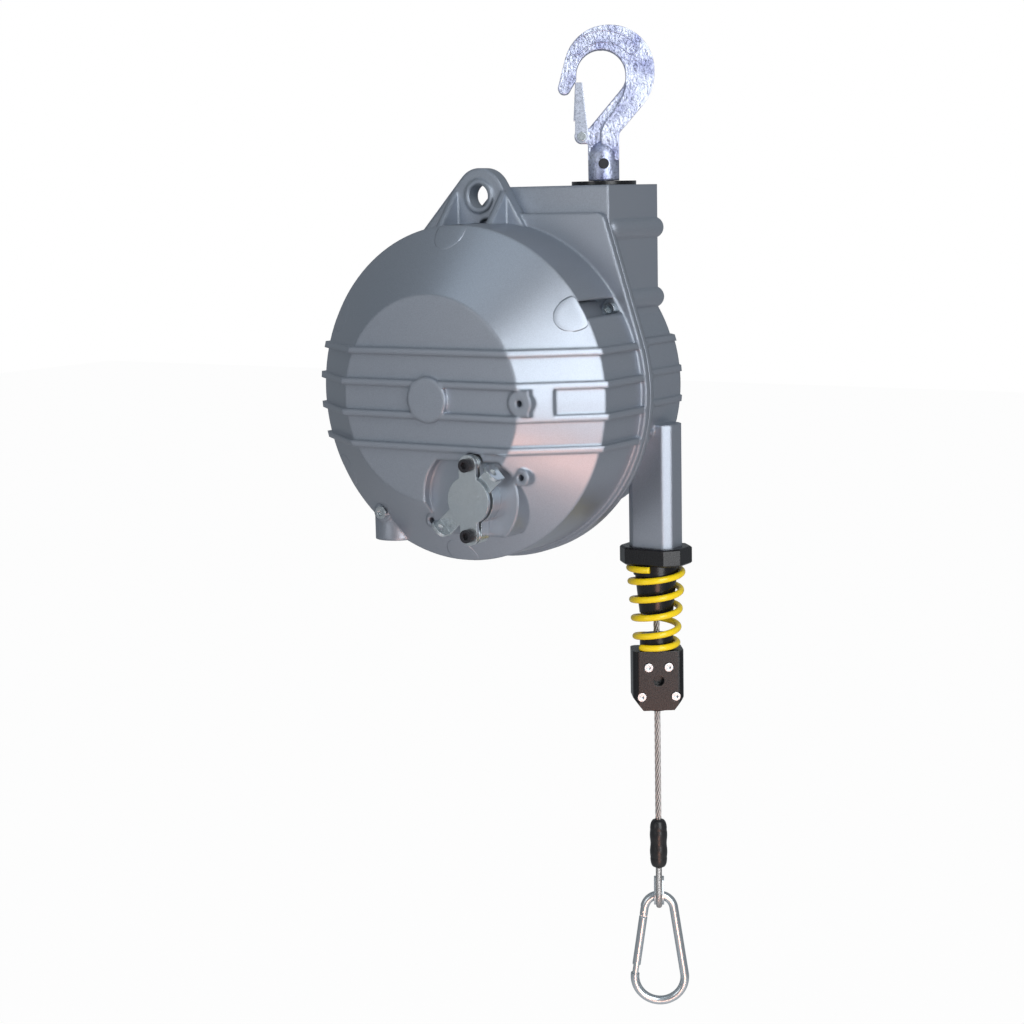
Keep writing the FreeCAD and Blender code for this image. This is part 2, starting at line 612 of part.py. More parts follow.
def hook_latch():
    """Pressed latch: two cheeks on the pin and a web that closes the mouth."""
    tip_u = -19.6
    tip_w = -24.5
    cheeks = []
    for side in (-1, 1):
        y0 = side * 4.5
        y1 = side * 6.0
        arm = plate([(LATCH_PIN_U - 5.2, LATCH_PIN_W), (tip_u - 1.5, tip_w), (tip_u + 4, tip_w),
                     (LATCH_PIN_U + 5.2, LATCH_PIN_W)], min(y0, y1), max(y0, y1))
        eye = rod(5.2, (LATCH_PIN_U, y0, LATCH_PIN_W), (LATCH_PIN_U, y1, LATCH_PIN_W))
        cheeks.append(arm.fuse(eye))
    web = plate([(LATCH_PIN_U - 6.2, LATCH_PIN_W + 12), (tip_u - 1.5, tip_w), (tip_u + 0.2, tip_w),
                 (LATCH_PIN_U - 4.4, LATCH_PIN_W + 12)], -5, 5)
    latch = fuse(cheeks + [web])
    bore = rod(LATCH_PIN_R + RUN_FIT, (LATCH_PIN_U, -12, LATCH_PIN_W), (LATCH_PIN_U, 12, LATCH_PIN_W))
    return hook_frame(latch.cut(bore))


def latch_pin():
    pin = rod(LATCH_PIN_R, (LATCH_PIN_U, -7, LATCH_PIN_W), (LATCH_PIN_U, 7, LATCH_PIN_W))
    head = rod(3.4, (LATCH_PIN_U, -7.6, LATCH_PIN_W), (LATCH_PIN_U, -6.2, LATCH_PIN_W))
    tail = rod(3.4, (LATCH_PIN_U, 6.2, LATCH_PIN_W), (LATCH_PIN_U, 7.6, LATCH_PIN_W))
    return hook_frame(fuse([pin, head, tail]))


def swivel_washer():
    return tube(WASHER_R, STEM_R + 0.3, (HOOK_X, HOOK_Y, TOWER_TOP), (HOOK_X, HOOK_Y, STEM_CLEAR))


def swivel_bearing():
    """Thrust bearing: two races and the balls between them."""
    top = TOWER_TOP - TOWER_HEAD
    race = 4.0
    bore = STEM_R + RUN_FIT
    upper = tube(THRUST_R, bore + 0.3, (HOOK_X, HOOK_Y, top - race), (HOOK_X, HOOK_Y, top))
    lower = tube(THRUST_R, bore, (HOOK_X, HOOK_Y, top - THRUST_T), (HOOK_X, HOOK_Y, top - THRUST_T + race))
    gap = THRUST_T - 2 * race
    solids = [upper, lower]
    for i in range(10):
        angle = math.radians(36 * i)
        solids.append(Part.makeSphere(gap / 2, V(HOOK_X + 14 * math.cos(angle), HOOK_Y + 14 * math.sin(angle),
                                                 top - THRUST_T / 2)))
    return Part.makeCompound(solids)


def hook_nut():
    top = TOWER_TOP - TOWER_HEAD - THRUST_T
    nut = hexagon_bar(NUT_AF, NUT_H, V(HOOK_X, HOOK_Y, top - NUT_H), V(0, 0, 1))
    return nut.cut(rod(STEM_R, (HOOK_X, HOOK_Y, 0), (HOOK_X, HOOK_Y, top + 1)))


# ================================================================ outlet
def outlet_collar():
    """Black collar pushed over the end of the outlet and held by the rope guide."""
    top = COLLAR_END + COLLAR_H
    body = octagon(COLLAR_W, COLLAR_D, COLLAR_CORNER, COLLAR_END, top, ROPE_X, ROPE_Y)
    rim = [e for e in body.Edges if abs(e.Vertexes[0].Z - e.Vertexes[1].Z) < 0.01]
    body = body.makeChamfer(1.2, rim)
    body = body.cut(octagon(TUBE_W, TUBE_D, TUBE_CORNER, TUBE_END, top + 1, ROPE_X, ROPE_Y))
    return body.cut(rod(TUBE_BORE_R, (ROPE_X, ROPE_Y, COLLAR_END - 1), (ROPE_X, ROPE_Y, top)))


def rope_guide():
    """Tapered guide under the collar, with a spigot in the bore of the outlet and a flared way out."""
    spigot = TUBE_END + 25 - COLLAR_END
    flare = NOSE_BORE_R + 3
    return lathe([(NOSE_BORE_R, 5 - NOSE_H), (flare, -NOSE_H), (NOSE_TIP_R - 1, -NOSE_H),
                  (NOSE_TIP_R, 1 - NOSE_H), (NOSE_R - 1.2, -9), (NOSE_R, -9), (NOSE_R, 0), (TUBE_BORE_R, 0),
                  (TUBE_BORE_R, spigot), (flare + 1, spigot), (NOSE_BORE_R, spigot - 8)],
                 "z", (ROPE_X, ROPE_Y, COLLAR_END))


def bumper_spring():
    """Conical wire spring with a closed coil at each end."""
    top = COLLAR_END - SPRING_WIRE / 2
    low = CLAMP_TOP + SPRING_WIRE / 2 + 0.3
    coil = (SPRING_TOP_R - SPRING_LOW_R) / (top - low)
    steps = 12
    total = SPRING_TURNS + 2
    points = []
    for i in range(int(total * steps) + 1):
        turn = i / steps
        active = min(max(turn - 1, 0), SPRING_TURNS) / SPRING_TURNS
        closed = SPRING_WIRE * (min(turn, 1) + max(turn - 1 - SPRING_TURNS, 0))
        drop = closed + active * (top - low - 2 * SPRING_WIRE)
        radius = SPRING_TOP_R - coil * drop
        angle = 2 * math.pi * turn
        points.append(V(ROPE_X + radius * math.cos(angle), ROPE_Y + radius * math.sin(angle), top - drop))
    line = Part.BSplineCurve()
    line.interpolate(points)
    path = Part.Wire(line.toShape())
    start = line.tangent(line.FirstParameter)[0]
    section = Part.Wire(Part.Circle(points[0], start, SPRING_WIRE / 2 - 0.05).toShape())
    return path.makePipeShell([section], True, True)


# ================================================================ rope and rope end
def rope_on_drum():
    turns = []
    for i in range(1, TURNS + 1):
        turns.append(Part.makeTorus(DRUM_R, ROPE_R, V(0, ROPE_Y - i * GROOVE_PITCH, 0), V(0, 1, 0)))
    return Part.makeCompound(turns)


ROPE_INNER_ROUTE = [(ROPE_X, ROPE_Y, 0), (ROPE_X, ROPE_Y, NOSE_END)]
ROPE_ROUTE = [(ROPE_X, ROPE_Y, NOSE_END - 0.3), (ROPE_X, ROPE_Y, SLEEVE_TOP)]


def rope_inner():
    """Rope from the drum to the mouth of the guide."""
    return rod(ROPE_R, *ROPE_INNER_ROUTE)


def rope():
    """Free rope from the guide through the stop clamp to the sleeve."""
    return rod(ROPE_R, *ROPE_ROUTE)


def clamp_block():
    """Whole outline of the stop clamp before it is split in two."""
    a = CLAMP_W / 2
    h = CLAMP_H
    corners = [(-a, 0), (a, 0), (a, 12 - h), (a - 8, -h + 1.5), (8 - a, -h + 1.5), (-a, 12 - h)]
    body = plate(corners, -CLAMP_T / 2, CLAMP_T / 2)
    upright = [e for e in body.Edges if abs(e.Vertexes[0].Z - e.Vertexes[1].Z) > 20]
    body = body.makeFillet(5, upright)
    neck = rod(CLAMP_NECK_R, (0, 0, -1), (0, 0, CLAMP_NECK_H))
    dome = rod(9, (0, 0, -h), (0, 0, 5 - h))
    return fuse([body, neck, dome])


def clamp_place(shape):
    result = shape.copy()
    result.translate(V(ROPE_X, ROPE_Y, CLAMP_TOP))
    return turned(result, CLAMP_TURN, ROPE_X, ROPE_Y)


CLAMP_SCREWS = [(-8.1, -13.0), (8.1, -13.0), (-13.7, -37.0), (13.7, -37.0)]


def clamp_half(side):
    """Front (-1) or rear (+1) half, with the rope groove, the screw holes and the centre hole."""
    half = clamp_block().common(box(-60, 60, min(0, side * 60), max(0, side * 60), -100, 60))
    half = half.cut(rod(ROPE_R, (0, 0, -80), (0, 0, 40)))
    for u, w in CLAMP_SCREWS:
        if side < 0:
            half = half.cut(rod(M4_R, (u, -30, w), (u, 30, w)))
            half = half.cut(rod(M4_HEAD_R + 0.2, (u, -30, w), (u, -CLAMP_T / 2 + M4_HEAD_H - 0.8, w)))
        else:
            half = half.cut(rod(M4_R, (u, -30, w), (u, CLAMP_T / 2 - 3, w)))
    if side < 0:
        half = half.cut(rod(4.2, (0, -30, -24), (0, -CLAMP_T / 2 + 6, -24)))
    return clamp_place(half)


def clamp_screws():
    screws = []
    seat = -CLAMP_T / 2 + M4_HEAD_H - 0.8
    for u, w in CLAMP_SCREWS:
        screws.append(cap_screw(M4_R, M4_HEAD_R, M4_HEAD_H, CLAMP_T / 2 - 3 - seat - 0.5, 3, (u, seat, w),
                                (0, 1, 0)))
    return clamp_place(Part.makeCompound(screws))


def rope_sleeve():
    """Swaged sleeve round both legs of the rope, with rounded ends."""
    low = SLEEVE_TOP - SLEEVE_H
    body = rod(SLEEVE_R, (ROPE_X, ROPE_Y, low), (ROPE_X, ROPE_Y, SLEEVE_TOP))
    return body.makeFillet(1.9, [e for e in body.Edges if len(e.Vertexes) == 1])


def eye_geometry():
    """Path of the rope round the thimble: two legs and the round end, across the carabiner's plane."""
    centre = EYE_BOTTOM + EYE_ROPE_R + ROPE_R
    top = SLEEVE_TOP - SLEEVE_H
    leg = ROPE_R + 0.1
    touch = tangent_point(0, centre, EYE_ROPE_R, leg, top, -1)
    return centre, top, leg, touch


def eye_place(shape):
    """The eye stands across the carabiner, so its plane is turned a quarter further."""
    result = shape.copy()
    result.translate(V(ROPE_X, ROPE_Y, 0))
    return turned(result, CARABINER_TURN + 90, ROPE_X, ROPE_Y)


def eye_path(start):
    """Edges of the loop, leaving out the first share of each leg."""
    centre, top, leg, touch = eye_geometry()
    u = leg + (touch[0] - leg) * start
    w = top + (touch[1] - top) * start
    left = Part.makeLine(V(-u, 0, w), V(-touch[0], 0, touch[1]))
    bend = Part.Arc(V(-touch[0], 0, touch[1]), V(0, 0, centre - EYE_ROPE_R), V(touch[0], 0, touch[1])).toShape()
    right = Part.makeLine(V(touch[0], 0, touch[1]), V(u, 0, w))
    return [left, bend, right], V(-u, 0, w), V(-touch[0] + u, 0, touch[1] - w).normalize()


def rope_eye():
    edges, start, direction = eye_path(0.045)
    return eye_place(sweep(edges, disc_wire(ROPE_R, (start.x, 0, start.z), tuple(direction))))


def thimble():
    """Pressed channel that lines the eye, half a ring in section."""
    edges, start, direction = eye_path(0.5)
    inward = V(-direction.z, 0, direction.x)
    if inward.x < 0:
        inward = inward * -1
    side = V(0, 1, 0)

    def at(radius, degrees):
        angle = math.radians(degrees)
        return start + inward * (radius * math.cos(angle)) + side * (radius * math.sin(angle))
    inner = ROPE_R + 0.02
    outer = inner + THIMBLE_T
    section = Part.Wire([
        Part.Arc(at(outer, -85), at(outer, 0), at(outer, 85)).toShape(),
        Part.makeLine(at(outer, 85), at(inner, 85)),
        Part.Arc(at(inner, 85), at(inner, 0), at(inner, -85)).toShape(),
        Part.makeLine(at(inner, -85), at(outer, -85))])
    return eye_place(sweep(edges, section))


# ================================================================ carabiner
def carabiner_geometry():
    """Centres of the small top ring and of the wide bottom ring in the carabiner's own plane."""
    centre, _, _, _ = eye_geometry()
    seat = centre - EYE_ROPE_R + ROPE_R + THIMBLE_T + 0.3 + CARABINER_WIRE_R
    top = seat - CARABINER_TOP_R
    low = seat + CARABINER_WIRE_R - CARABINER_H + CARABINER_WIRE_R + CARABINER_LOW_R
    return seat, top, low


def carabiner_place(shape):
    result = shape.copy()
    result.translate(V(ROPE_X, ROPE_Y, 0))
    return turned(result, CARABINER_TURN, ROPE_X, ROPE_Y)


def carabiner_sides():
    """Tangent points of the straight sides: right one, and the left one mirrored."""
    _, top, low = carabiner_geometry()
    slope = math.asin((CARABINER_LOW_R - CARABINER_TOP_R) / (top - low))
    upper = (CARABINER_TOP_R * math.cos(slope), top + CARABINER_TOP_R * math.sin(slope))
    lower = (CARABINER_LOW_R * math.cos(slope), low + CARABINER_LOW_R * math.sin(slope))
    return upper, lower


def gate_ends():
    """Hinge and nose of the gate on the straight left side."""
    upper, lower = carabiner_sides()
    hinge = (-(upper[0] + (lower[0] - upper[0]) * 0.06), upper[1] + (lower[1] - upper[1]) * 0.06)
    nose = (-(upper[0] + (lower[0] - upper[0]) * 0.97), upper[1] + (lower[1] - upper[1]) * 0.97)
    return hinge, nose


def carabiner_body():
    """Bent wire from the gate hinge over the top ring, down the right side and round to the nose."""
    _, top, low = carabiner_geometry()
    upper, lower = carabiner_sides()
    hinge, nose = gate_ends()
    pivot = V(hinge[0], 0, hinge[1])
    along = V(-upper[0] - hinge[0], 0, upper[1] - hinge[1]).normalize()
    start = pivot - along * 3.2
    path = [Part.makeLine(start, V(-upper[0], 0, upper[1])),
            Part.Arc(V(-upper[0], 0, upper[1]), V(0, 0, top + CARABINER_TOP_R), V(upper[0], 0, upper[1])).toShape(),
            Part.makeLine(V(upper[0], 0, upper[1]), V(lower[0], 0, lower[1])),
            Part.Arc(V(lower[0], 0, lower[1]), V(0, 0, low - CARABINER_LOW_R), V(-lower[0], 0, lower[1])).toShape()]
    wire = sweep(path, disc_wire(CARABINER_WIRE_R, (start.x, 0, start.z), tuple(along)))
    tip = rod(2.4, (-lower[0], 0, lower[1]), (nose[0], 0, nose[1]))
    body = fuse([wire, tip])
    fork = box(-4.5, 4.5, -1.6, 1.6, -4, 4.4)
    fork.rotate(V(0, 0, 0), V(0, 1, 0), math.degrees(math.atan2(nose[0] - hinge[0], nose[1] - hinge[1])) + 180)
    fork.translate(pivot)
    body = body.cut(fork)
    return carabiner_place(body.cut(rod(GATE_PIN_R, (hinge[0], -9, hinge[1]), (hinge[0], 9, hinge[1]))))


def carabiner_gate():
    """Straight gate with an eye tongue at the hinge and a slotted end over the nose."""
    hinge, nose = gate_ends()
    a = V(hinge[0], 0, hinge[1])
    b = V(nose[0], 0, nose[1])
    d = (b - a).normalize()
    length = (b - a).Length
    bar = Part.makeCylinder(CARABINER_WIRE_R - 0.2, length - 3.8, a + d * 5.0, d)
    tongue = rod(2.6, (a.x, -1.3, a.z), (a.x, 1.3, a.z))
    neck = box(-2.4, 2.4, -1.3, 1.3, -8, 0)
    slot = box(-8, 8, -2.45, 2.45, 0, 9)
    turn = math.degrees(math.atan2(d.x, d.z))
    neck.rotate(V(0, 0, 0), V(0, 1, 0), turn + 180)
    slot.rotate(V(0, 0, 0), V(0, 1, 0), turn)
    neck.translate(a)
    slot.translate(b - d * 6.2)
    gate = fuse([bar, tongue, neck])
    gate = gate.cut(slot)
    return carabiner_place(gate.cut(rod(GATE_PIN_R + RUN_FIT, (a.x, -9, a.z), (a.x, 9, a.z))))


def gate_pin():
    hinge, _ = gate_ends()
    return carabiner_place(rod(GATE_PIN_R, (hinge[0], -CARABINER_WIRE_R - 0.2, hinge[1]),
                               (hinge[0], CARABINER_WIRE_R + 0.2, hinge[1])))


# ================================================================ brake
def lock_screw_places():
    return [(LOCK_X, LOCK_Z + EAR_DIST), (LOCK_X, LOCK_Z - EAR_DIST)]


def oval(radius, y0, y1):
    """Round body with an ear above and below, drawn as tangent straight sides."""
    disc = rod(radius, (LOCK_X, y0, LOCK_Z), (LOCK_X, y1, LOCK_Z))
    parts = [disc]
    for x, z in lock_screw_places():
        parts.append(rod(EAR_R, (x, y0, z), (x, y1, z)))
    half = EAR_R
    parts.append(box(LOCK_X - half, LOCK_X + half, y0, y1, LOCK_Z - EAR_DIST, LOCK_Z + EAR_DIST))
    return fuse(parts)


def lock_cap_plate():
    cap = oval(CAP_R, CAP_Y, CAP_Y + CAP_T)
    for x, z in lock_screw_places():
        cap = cap.cut(rod(M6_R + 0.3, (x, CAP_Y - 1, z), (x, CAP_Y + CAP_T + 1, z)))
    return cap


LEVER_Y = CAP_Y + CAP_T + 0.3
SPACER_Y = LEVER_Y + LEVER_T + 0.3
BOLT_HEAD_Y = SPACER_Y + 0.7


def lock_spacer():
    """Body under the lever; its ears reach up to the cap on each side of the lever."""
    body = oval(CAP_R + 0.5, SPACER_Y, PLATFORM_Y)
    for x, z in lock_screw_places():
        body = body.fuse(rod(EAR_R - 1.5, (x, CAP_Y + CAP_T, z), (x, PLATFORM_Y, z)))
    body = body.removeSplitter()
    body = body.cut(rod(BOLT_HEAD_R + 2, (LOCK_X, SPACER_Y - 1, LOCK_Z),
                        (LOCK_X, BOLT_HEAD_Y + BOLT_HEAD_T + BOLT_STROKE + 0.2, LOCK_Z)))
    body = body.cut(rod(BOLT_R + RUN_FIT, (LOCK_X, -20, LOCK_Z), (LOCK_X, 20, LOCK_Z)))
    for x, z in lock_screw_places():
        body = body.cut(rod(M6_R + 0.3, (x, -20, z), (x, 20, z)))
    return body


def lock_screws():
    length = PLATFORM_Y + WALL - 2 - CAP_Y
    screws = [cap_screw(M6_R, M6_HEAD_R, M6_HEAD_H - 1.5, length, M6_HEX, (x, CAP_Y, z), (0, 1, 0))
              for x, z in lock_screw_places()]
    return Part.makeCompound(screws)


def lock_lever():
    """Two-armed rocker with a folded eye at each end for the pull cords."""
    hub = rod(11, (0, LEVER_Y, 0), (0, LEVER_Y + LEVER_T, 0))
    reach = LEVER_REACH
    arm = box(-reach, reach, LEVER_Y, LEVER_Y + LEVER_T, -LEVER_HALF, LEVER_HALF)
    parts = [hub, arm]
    for side in (-1, 1):
        x0 = side * (reach - LEVER_T / 2)
        tab = box(min(x0, x0 + side * LEVER_T), max(x0, x0 + side * LEVER_T), LEVER_Y - 12,
                  LEVER_Y + LEVER_T, -LEVER_HALF, LEVER_HALF)
        corner = [e for e in tab.Edges if abs(e.Vertexes[0].Y - LEVER_Y + 12) < 0.01
                  and abs(e.Vertexes[1].Y - LEVER_Y + 12) < 0.01 and e.Length < LEVER_T + 0.1]
        tab = tab.makeFillet(5.5, corner)
        parts.append(tab)
    lever = fuse(parts)
    for side in (-1, 1):
        eye_y = LEVER_Y - LEVER_EYE_DEPTH
        lever = lever.cut(rod(LEVER_EYE_R, (side * (reach - 4), eye_y, 0), (side * (reach + 4), eye_y, 0)))
    cam = rod(4, (0, LEVER_Y + LEVER_T, 0), (0, SPACER_Y + 0.5, 0))
    lever = lever.fuse(cam).removeSplitter()
    lever.rotate(V(0, 0, 0), V(0, 1, 0), -LEVER_ANGLE)
    lever.translate(V(LOCK_X, 0, LOCK_Z))
    return lever


def lock_bolt():
    """Bolt with a head in the spacer; it slides to the rear into the lid of the spring case."""
    head = rod(BOLT_HEAD_R, (LOCK_X, BOLT_HEAD_Y, LOCK_Z), (LOCK_X, BOLT_HEAD_Y + BOLT_HEAD_T, LOCK_Z))
    shank = rod(BOLT_R, (LOCK_X, BOLT_HEAD_Y, LOCK_Z), (LOCK_X, CASE_FRONT - 1.5, LOCK_Z))
    return head.fuse(shank).removeSplitter()


# ================================================================ adjuster
def adjuster_worm():
    """Upright worm on a shaft with a hexagon socket at the bottom."""
    low = WORM_BOSS_END + 1.5
    core_r = WORM_R - 3.0
    shaft = rod(WORM_SHAFT_R, (WORM_X, WHEEL_Y, low), (WORM_X, WHEEL_Y, WORM_TOP))
    core = rod(core_r, (WORM_X, WHEEL_Y, -WORM_HALF), (WORM_X, WHEEL_Y, WORM_HALF))
    thread_h = 5.0
    half = (WORM_PITCH - BACKLASH) / 4
    helix = Part.makeHelix(WORM_PITCH, WORM_PITCH * 4, core_r - 0.4)
    section = Part.makePolygon([V(core_r - 0.4, 0, -half - 0.9), V(core_r + thread_h, 0, -half + 0.7),
                                V(core_r + thread_h, 0, half - 0.7), V(core_r - 0.4, 0, half + 0.9),
                                V(core_r - 0.4, 0, -half - 0.9)])
    thread = Part.Wire(helix).makePipeShell([section], True, True)
    thread.translate(V(WORM_X, WHEEL_Y, -WORM_PITCH * 2))
    worm = fuse([shaft, core, thread])
    return worm.cut(hexagon_bar(6, 9, V(WORM_X, WHEEL_Y, low), V(0, 0, 1)))


def worm_wheel():
    """Spur-cut wheel with 44 teeth on a hub with a key."""
    tip = WHEEL_R + 2.0
    root = WHEEL_R - 3.0
    pitch = 2 * math.pi / WHEEL_TEETH
    half = (WORM_PITCH - BACKLASH) / 4 / WHEEL_R
    corners = []
    for i in range(WHEEL_TEETH):
        middle = math.pi + pitch * (i + 0.5)
        for radius, offset in ((root, -half * 1.35), (tip, -half * 0.6), (tip, half * 0.6), (root, half * 1.35)):
            corners.append((radius * math.cos(middle + offset), radius * math.sin(middle + offset)))
    wheel = plate(corners, WHEEL_Y - WHEEL_T / 2, WHEEL_Y + WHEEL_T / 2)
    hub = rod(18, (0, WHEEL_Y - 9, 0), (0, WHEEL_Y + 9, 0))
    wheel = wheel.fuse(hub)
    for i in range(6):
        x, z = polar(35, 60 * i + 30)
        wheel = wheel.cut(rod(9, (x, WHEEL_Y - 20, z), (x, WHEEL_Y + 20, z)))
    return wheel.cut(rod(SHAFT_R, (0, 0, 0), (0, 80, 0)))


def worm_bush():
    return tube(WORM_BUSH_R, WORM_SHAFT_R + RUN_FIT, (WORM_X, WHEEL_Y, WORM_BOSS_END),
                (WORM_X, WHEEL_Y, WORM_BUSH_TOP))


def worm_bush_screw():
    seat = (WORM_X, WHEEL_Y - WORM_BOSS_R - 2, WORM_LOCK_Z)
    return cap_screw(M6_R, M6_HEAD_R, 3.2, WORM_BOSS_R + 2 - WORM_BUSH_R - 0.1, M6_HEX, seat, (0, 1, 0))


# ================================================================ shaft, spring and drum
def main_shaft():
    return rod(SHAFT_R, (0, FRONT_BUSH[0] + 1, 0), (0, REAR_BUSH[1] - 2, 0))


def plain_bush(y0, y1):
    return tube(BUSH_SEAT_R, SHAFT_R + RUN_FIT, (0, y0, 0), (0, y1, 0))


def spring_arbor():
    """Core of the spring, keyed on the shaft, with a catch for the inner end."""
    y0 = CASE_FRONT + LID_T + 2
    y1 = CASE_BACK - CASE_T - 2
    arbor = tube(ARBOR_R, SHAFT_R, (0, y0, 0), (0, y1, 0))
    return arbor.cut(box(ARBOR_R - 4, ARBOR_R + 1, y0 - 1, y1 + 1, -3, 3))


def mainspring():
    """Spiral strip drawn as half circles about two centres, from the arbor out to the case."""
    y0 = CASE_FRONT + LID_T + 2.5
    y1 = CASE_BACK - CASE_T - 2.5
    first = ARBOR_R + 1.5
    last = CASE_R - CASE_T - 0.5
    shift = (last - SPRING_STRIP - first) / (2 * SPRING_COILS)
    edges = []
    for radius in (first, first + SPRING_STRIP):
        for i in range(SPRING_COILS):
            upper = radius + 2 * i * shift
            lower = upper + shift
            edges.append(half_circle(0, upper, 1, y0))
            edges.append(half_circle(shift, lower, -1, y0))
    end = first + 2 * SPRING_COILS * shift
    edges.append(Part.makeLine(V(first, y0, 0), V(first + SPRING_STRIP, y0, 0)))
    edges.append(Part.makeLine(V(end, y0, 0), V(end + SPRING_STRIP, y0, 0)))
    wire = Part.Wire(Part.__sortEdges__(edges))
    return Part.Face(wire).extrude(V(0, y1 - y0, 0))


def half_circle(centre, radius, sign, y):
    """Upper half of a circle (sign +1) or its lower half (-1)."""
    return Part.Arc(V(centre + radius, y, 0), V(centre, y, sign * radius), V(centre - radius, y, 0)).toShape()


def bolt_places():
    return [polar(BOLT_CIRCLE, 360 / BOLT_COUNT * i) for i in range(BOLT_COUNT)]


def spring_case():
    """Pot that holds the spring, open to the front."""
    wall = tube(CASE_R, CASE_R - CASE_T, (0, CASE_FRONT + LID_T, 0), (0, CASE_BACK, 0))
    back = tube(CASE_R, 24, (0, CASE_BACK - CASE_T, 0), (0, CASE_BACK, 0))
    case = wall.fuse(back).removeSplitter()
    for x, z in bolt_places():
        case = case.cut(rod(M6_R, (x, CASE_BACK - 10, z), (x, CASE_BACK + 1, z)))
    return case


def spring_case_lid():
    """Lid with the ring of holes that the brake bolt enters."""
    lid = tube(CASE_R, SHAFT_R + 2, (0, CASE_FRONT, 0), (0, CASE_FRONT + LID_T, 0))
    first = math.degrees(math.atan2(LOCK_Z, LOCK_X))
    for i in range(LOCK_HOLES):
        x, z = polar(LOCK_PITCH_R, first + 360 / LOCK_HOLES * i)
        lid = lid.cut(rod(BOLT_R + 1, (x, CASE_FRONT - 1, z), (x, CASE_FRONT + LID_T + 1, z)))
    return lid


def rope_drum():
    """Grooved drum with a web, a hub bored for two bearings and a flange on each side."""
    front = CASE_BACK
    land = DRUM_R - ROPE_R + 1.4
    rim_y0 = ROPE_Y - (TURNS + 1) * GROOVE_PITCH
    flange_r = DRUM_ROOM_R - 1.0
    profile = [(BEARING_R, front), (98, front), (98, front + 5), (flange_r - 2, rim_y0 - 1), (flange_r, rim_y0),
               (flange_r, rim_y0 + 2), (land, rim_y0 + 3), (land, DRUM_BACK - 4), (flange_r, DRUM_BACK - 3),
               (flange_r, DRUM_BACK), (land - 8, DRUM_BACK), (land - 8, front + WEB_T), (28, front + WEB_T),
               (28, DRUM_BACK), (BEARING_R, DRUM_BACK)]
    drum = lathe(profile)
    for i in range(TURNS + 1):
        groove = Part.makeTorus(DRUM_R, ROPE_R + 0.02, V(0, ROPE_Y - i * GROOVE_PITCH, 0), V(0, 1, 0))
        drum = drum.cut(groove)
    for x, z in bolt_places():
        drum = drum.cut(rod(M6_R, (x, front - 1, z), (x, front + WEB_T + 1, z)))
    return drum


def drum_screws():
    screws = []
    for x, z in bolt_places():
        screws.append(cap_screw(M6_R, M6_HEAD_R, M6_HEAD_H, WEB_T + CASE_T, M6_HEX, (x, CASE_BACK + WEB_T, z),
                                (0, -1, 0)))
    return Part.makeCompound(screws)


def ball_bearing(y0):
    """Outer ring, inner ring and balls."""
    y1 = y0 + BEARING_W
    middle = (SHAFT_R + BEARING_R) / 2
    outer = tube(BEARING_R, BEARING_R - BEARING_RING, (0, y0, 0), (0, y1, 0))
    inner = tube(SHAFT_R + BEARING_RING, SHAFT_R + RUN_FIT, (0, y0, 0), (0, y1, 0))
    solids = [outer, inner]
    for i in range(BEARING_BALLS):
        x, z = polar(middle, 360 / BEARING_BALLS * i)
        solids.append(Part.makeSphere((BEARING_R - SHAFT_R) / 2 - BEARING_RING, V(x, (y0 + y1) / 2, z)))
    return solids


def drum_bearings():
    return Part.makeCompound(ball_bearing(CASE_BACK + 1) + ball_bearing(DRUM_BACK - BEARING_W - 1))


def shaft_circlips():
    rings = []
    for y in (CASE_BACK - 0.7, DRUM_BACK - 0.7):
        rings.append(tube(SHAFT_R + 2.5, SHAFT_R, (0, y, 0), (0, y + 1.2, 0)))
    return Part.makeCompound(rings)


# ================================================================ export
NODES = {
    "front_cover": front_cover,
    "rear_housing": rear_housing,
    "cover_screws": cover_screws,
    "load_hook": load_hook,
    "hook_stem": hook_stem,
    "hook_cross_pin": hook_cross_pin,
    "hook_latch": hook_latch,
    "latch_pin": latch_pin,
    "swivel_washer": swivel_washer,
    "swivel_bearing": swivel_bearing,
    "hook_nut": hook_nut,
    "outlet_collar": outlet_collar,
    "rope_guide": rope_guide,
    "bumper_spring": bumper_spring,
    "rope_on_drum": rope_on_drum,
    "rope_inner": rope_inner,
    "rope": rope,
    "clamp_front": lambda: clamp_half(-1),
    "clamp_rear": lambda: clamp_half(1),
    "clamp_screws": clamp_screws,
    "rope_sleeve": rope_sleeve,
    "rope_eye": rope_eye,
    "thimble": thimble,
    "carabiner_body": carabiner_body,
    "carabiner_gate": carabiner_gate,
    "gate_pin": gate_pin,
    "lock_cap_plate": lock_cap_plate,
    "lock_spacer": lock_spacer,
    "lock_screws": lock_screws,
    "lock_lever": lock_lever,
    "lock_bolt": lock_bolt,
    "adjuster_worm": adjuster_worm,
    "worm_bush": worm_bush,
    "worm_bush_screw": worm_bush_screw,
    "worm_wheel": worm_wheel,
    "main_shaft": main_shaft,
    "front_bush": lambda: plain_bush(*FRONT_BUSH),
    "rear_bush": lambda: plain_bush(*REAR_BUSH),
    "spring_arbor": spring_arbor,
    "mainspring": mainspring,
    "spring_case": spring_case,
    "spring_case_lid": spring_case_lid,
    "rope_drum": rope_drum,
    "drum_screws": drum_screws,
    "drum_bearings": drum_bearings,
    "shaft_circlips": shaft_circlips,
}

os.makedirs("parts", exist_ok=True)
for name, make in NODES.items():
    shape = make()
    shape.translate(V(-HOOK_X, -HOOK_Y, -BOWL_Z))
    shape.exportStep("parts/" + name + ".step")
    print(name, "solids", len(shape.Solids), "volume", round(shape.Volume), "valid", shape.isValid())
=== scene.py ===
# Tool balancer: a die-cast spring housing on a swivel hook, with a wire rope, an end stop and a carabiner.
# Metres. The origin is the bowl of the hook, Z is up, and the flat face of the front cover looks towards -Y.
import bmesh
import bpy
import numpy as np
from mathutils import Matrix, Vector


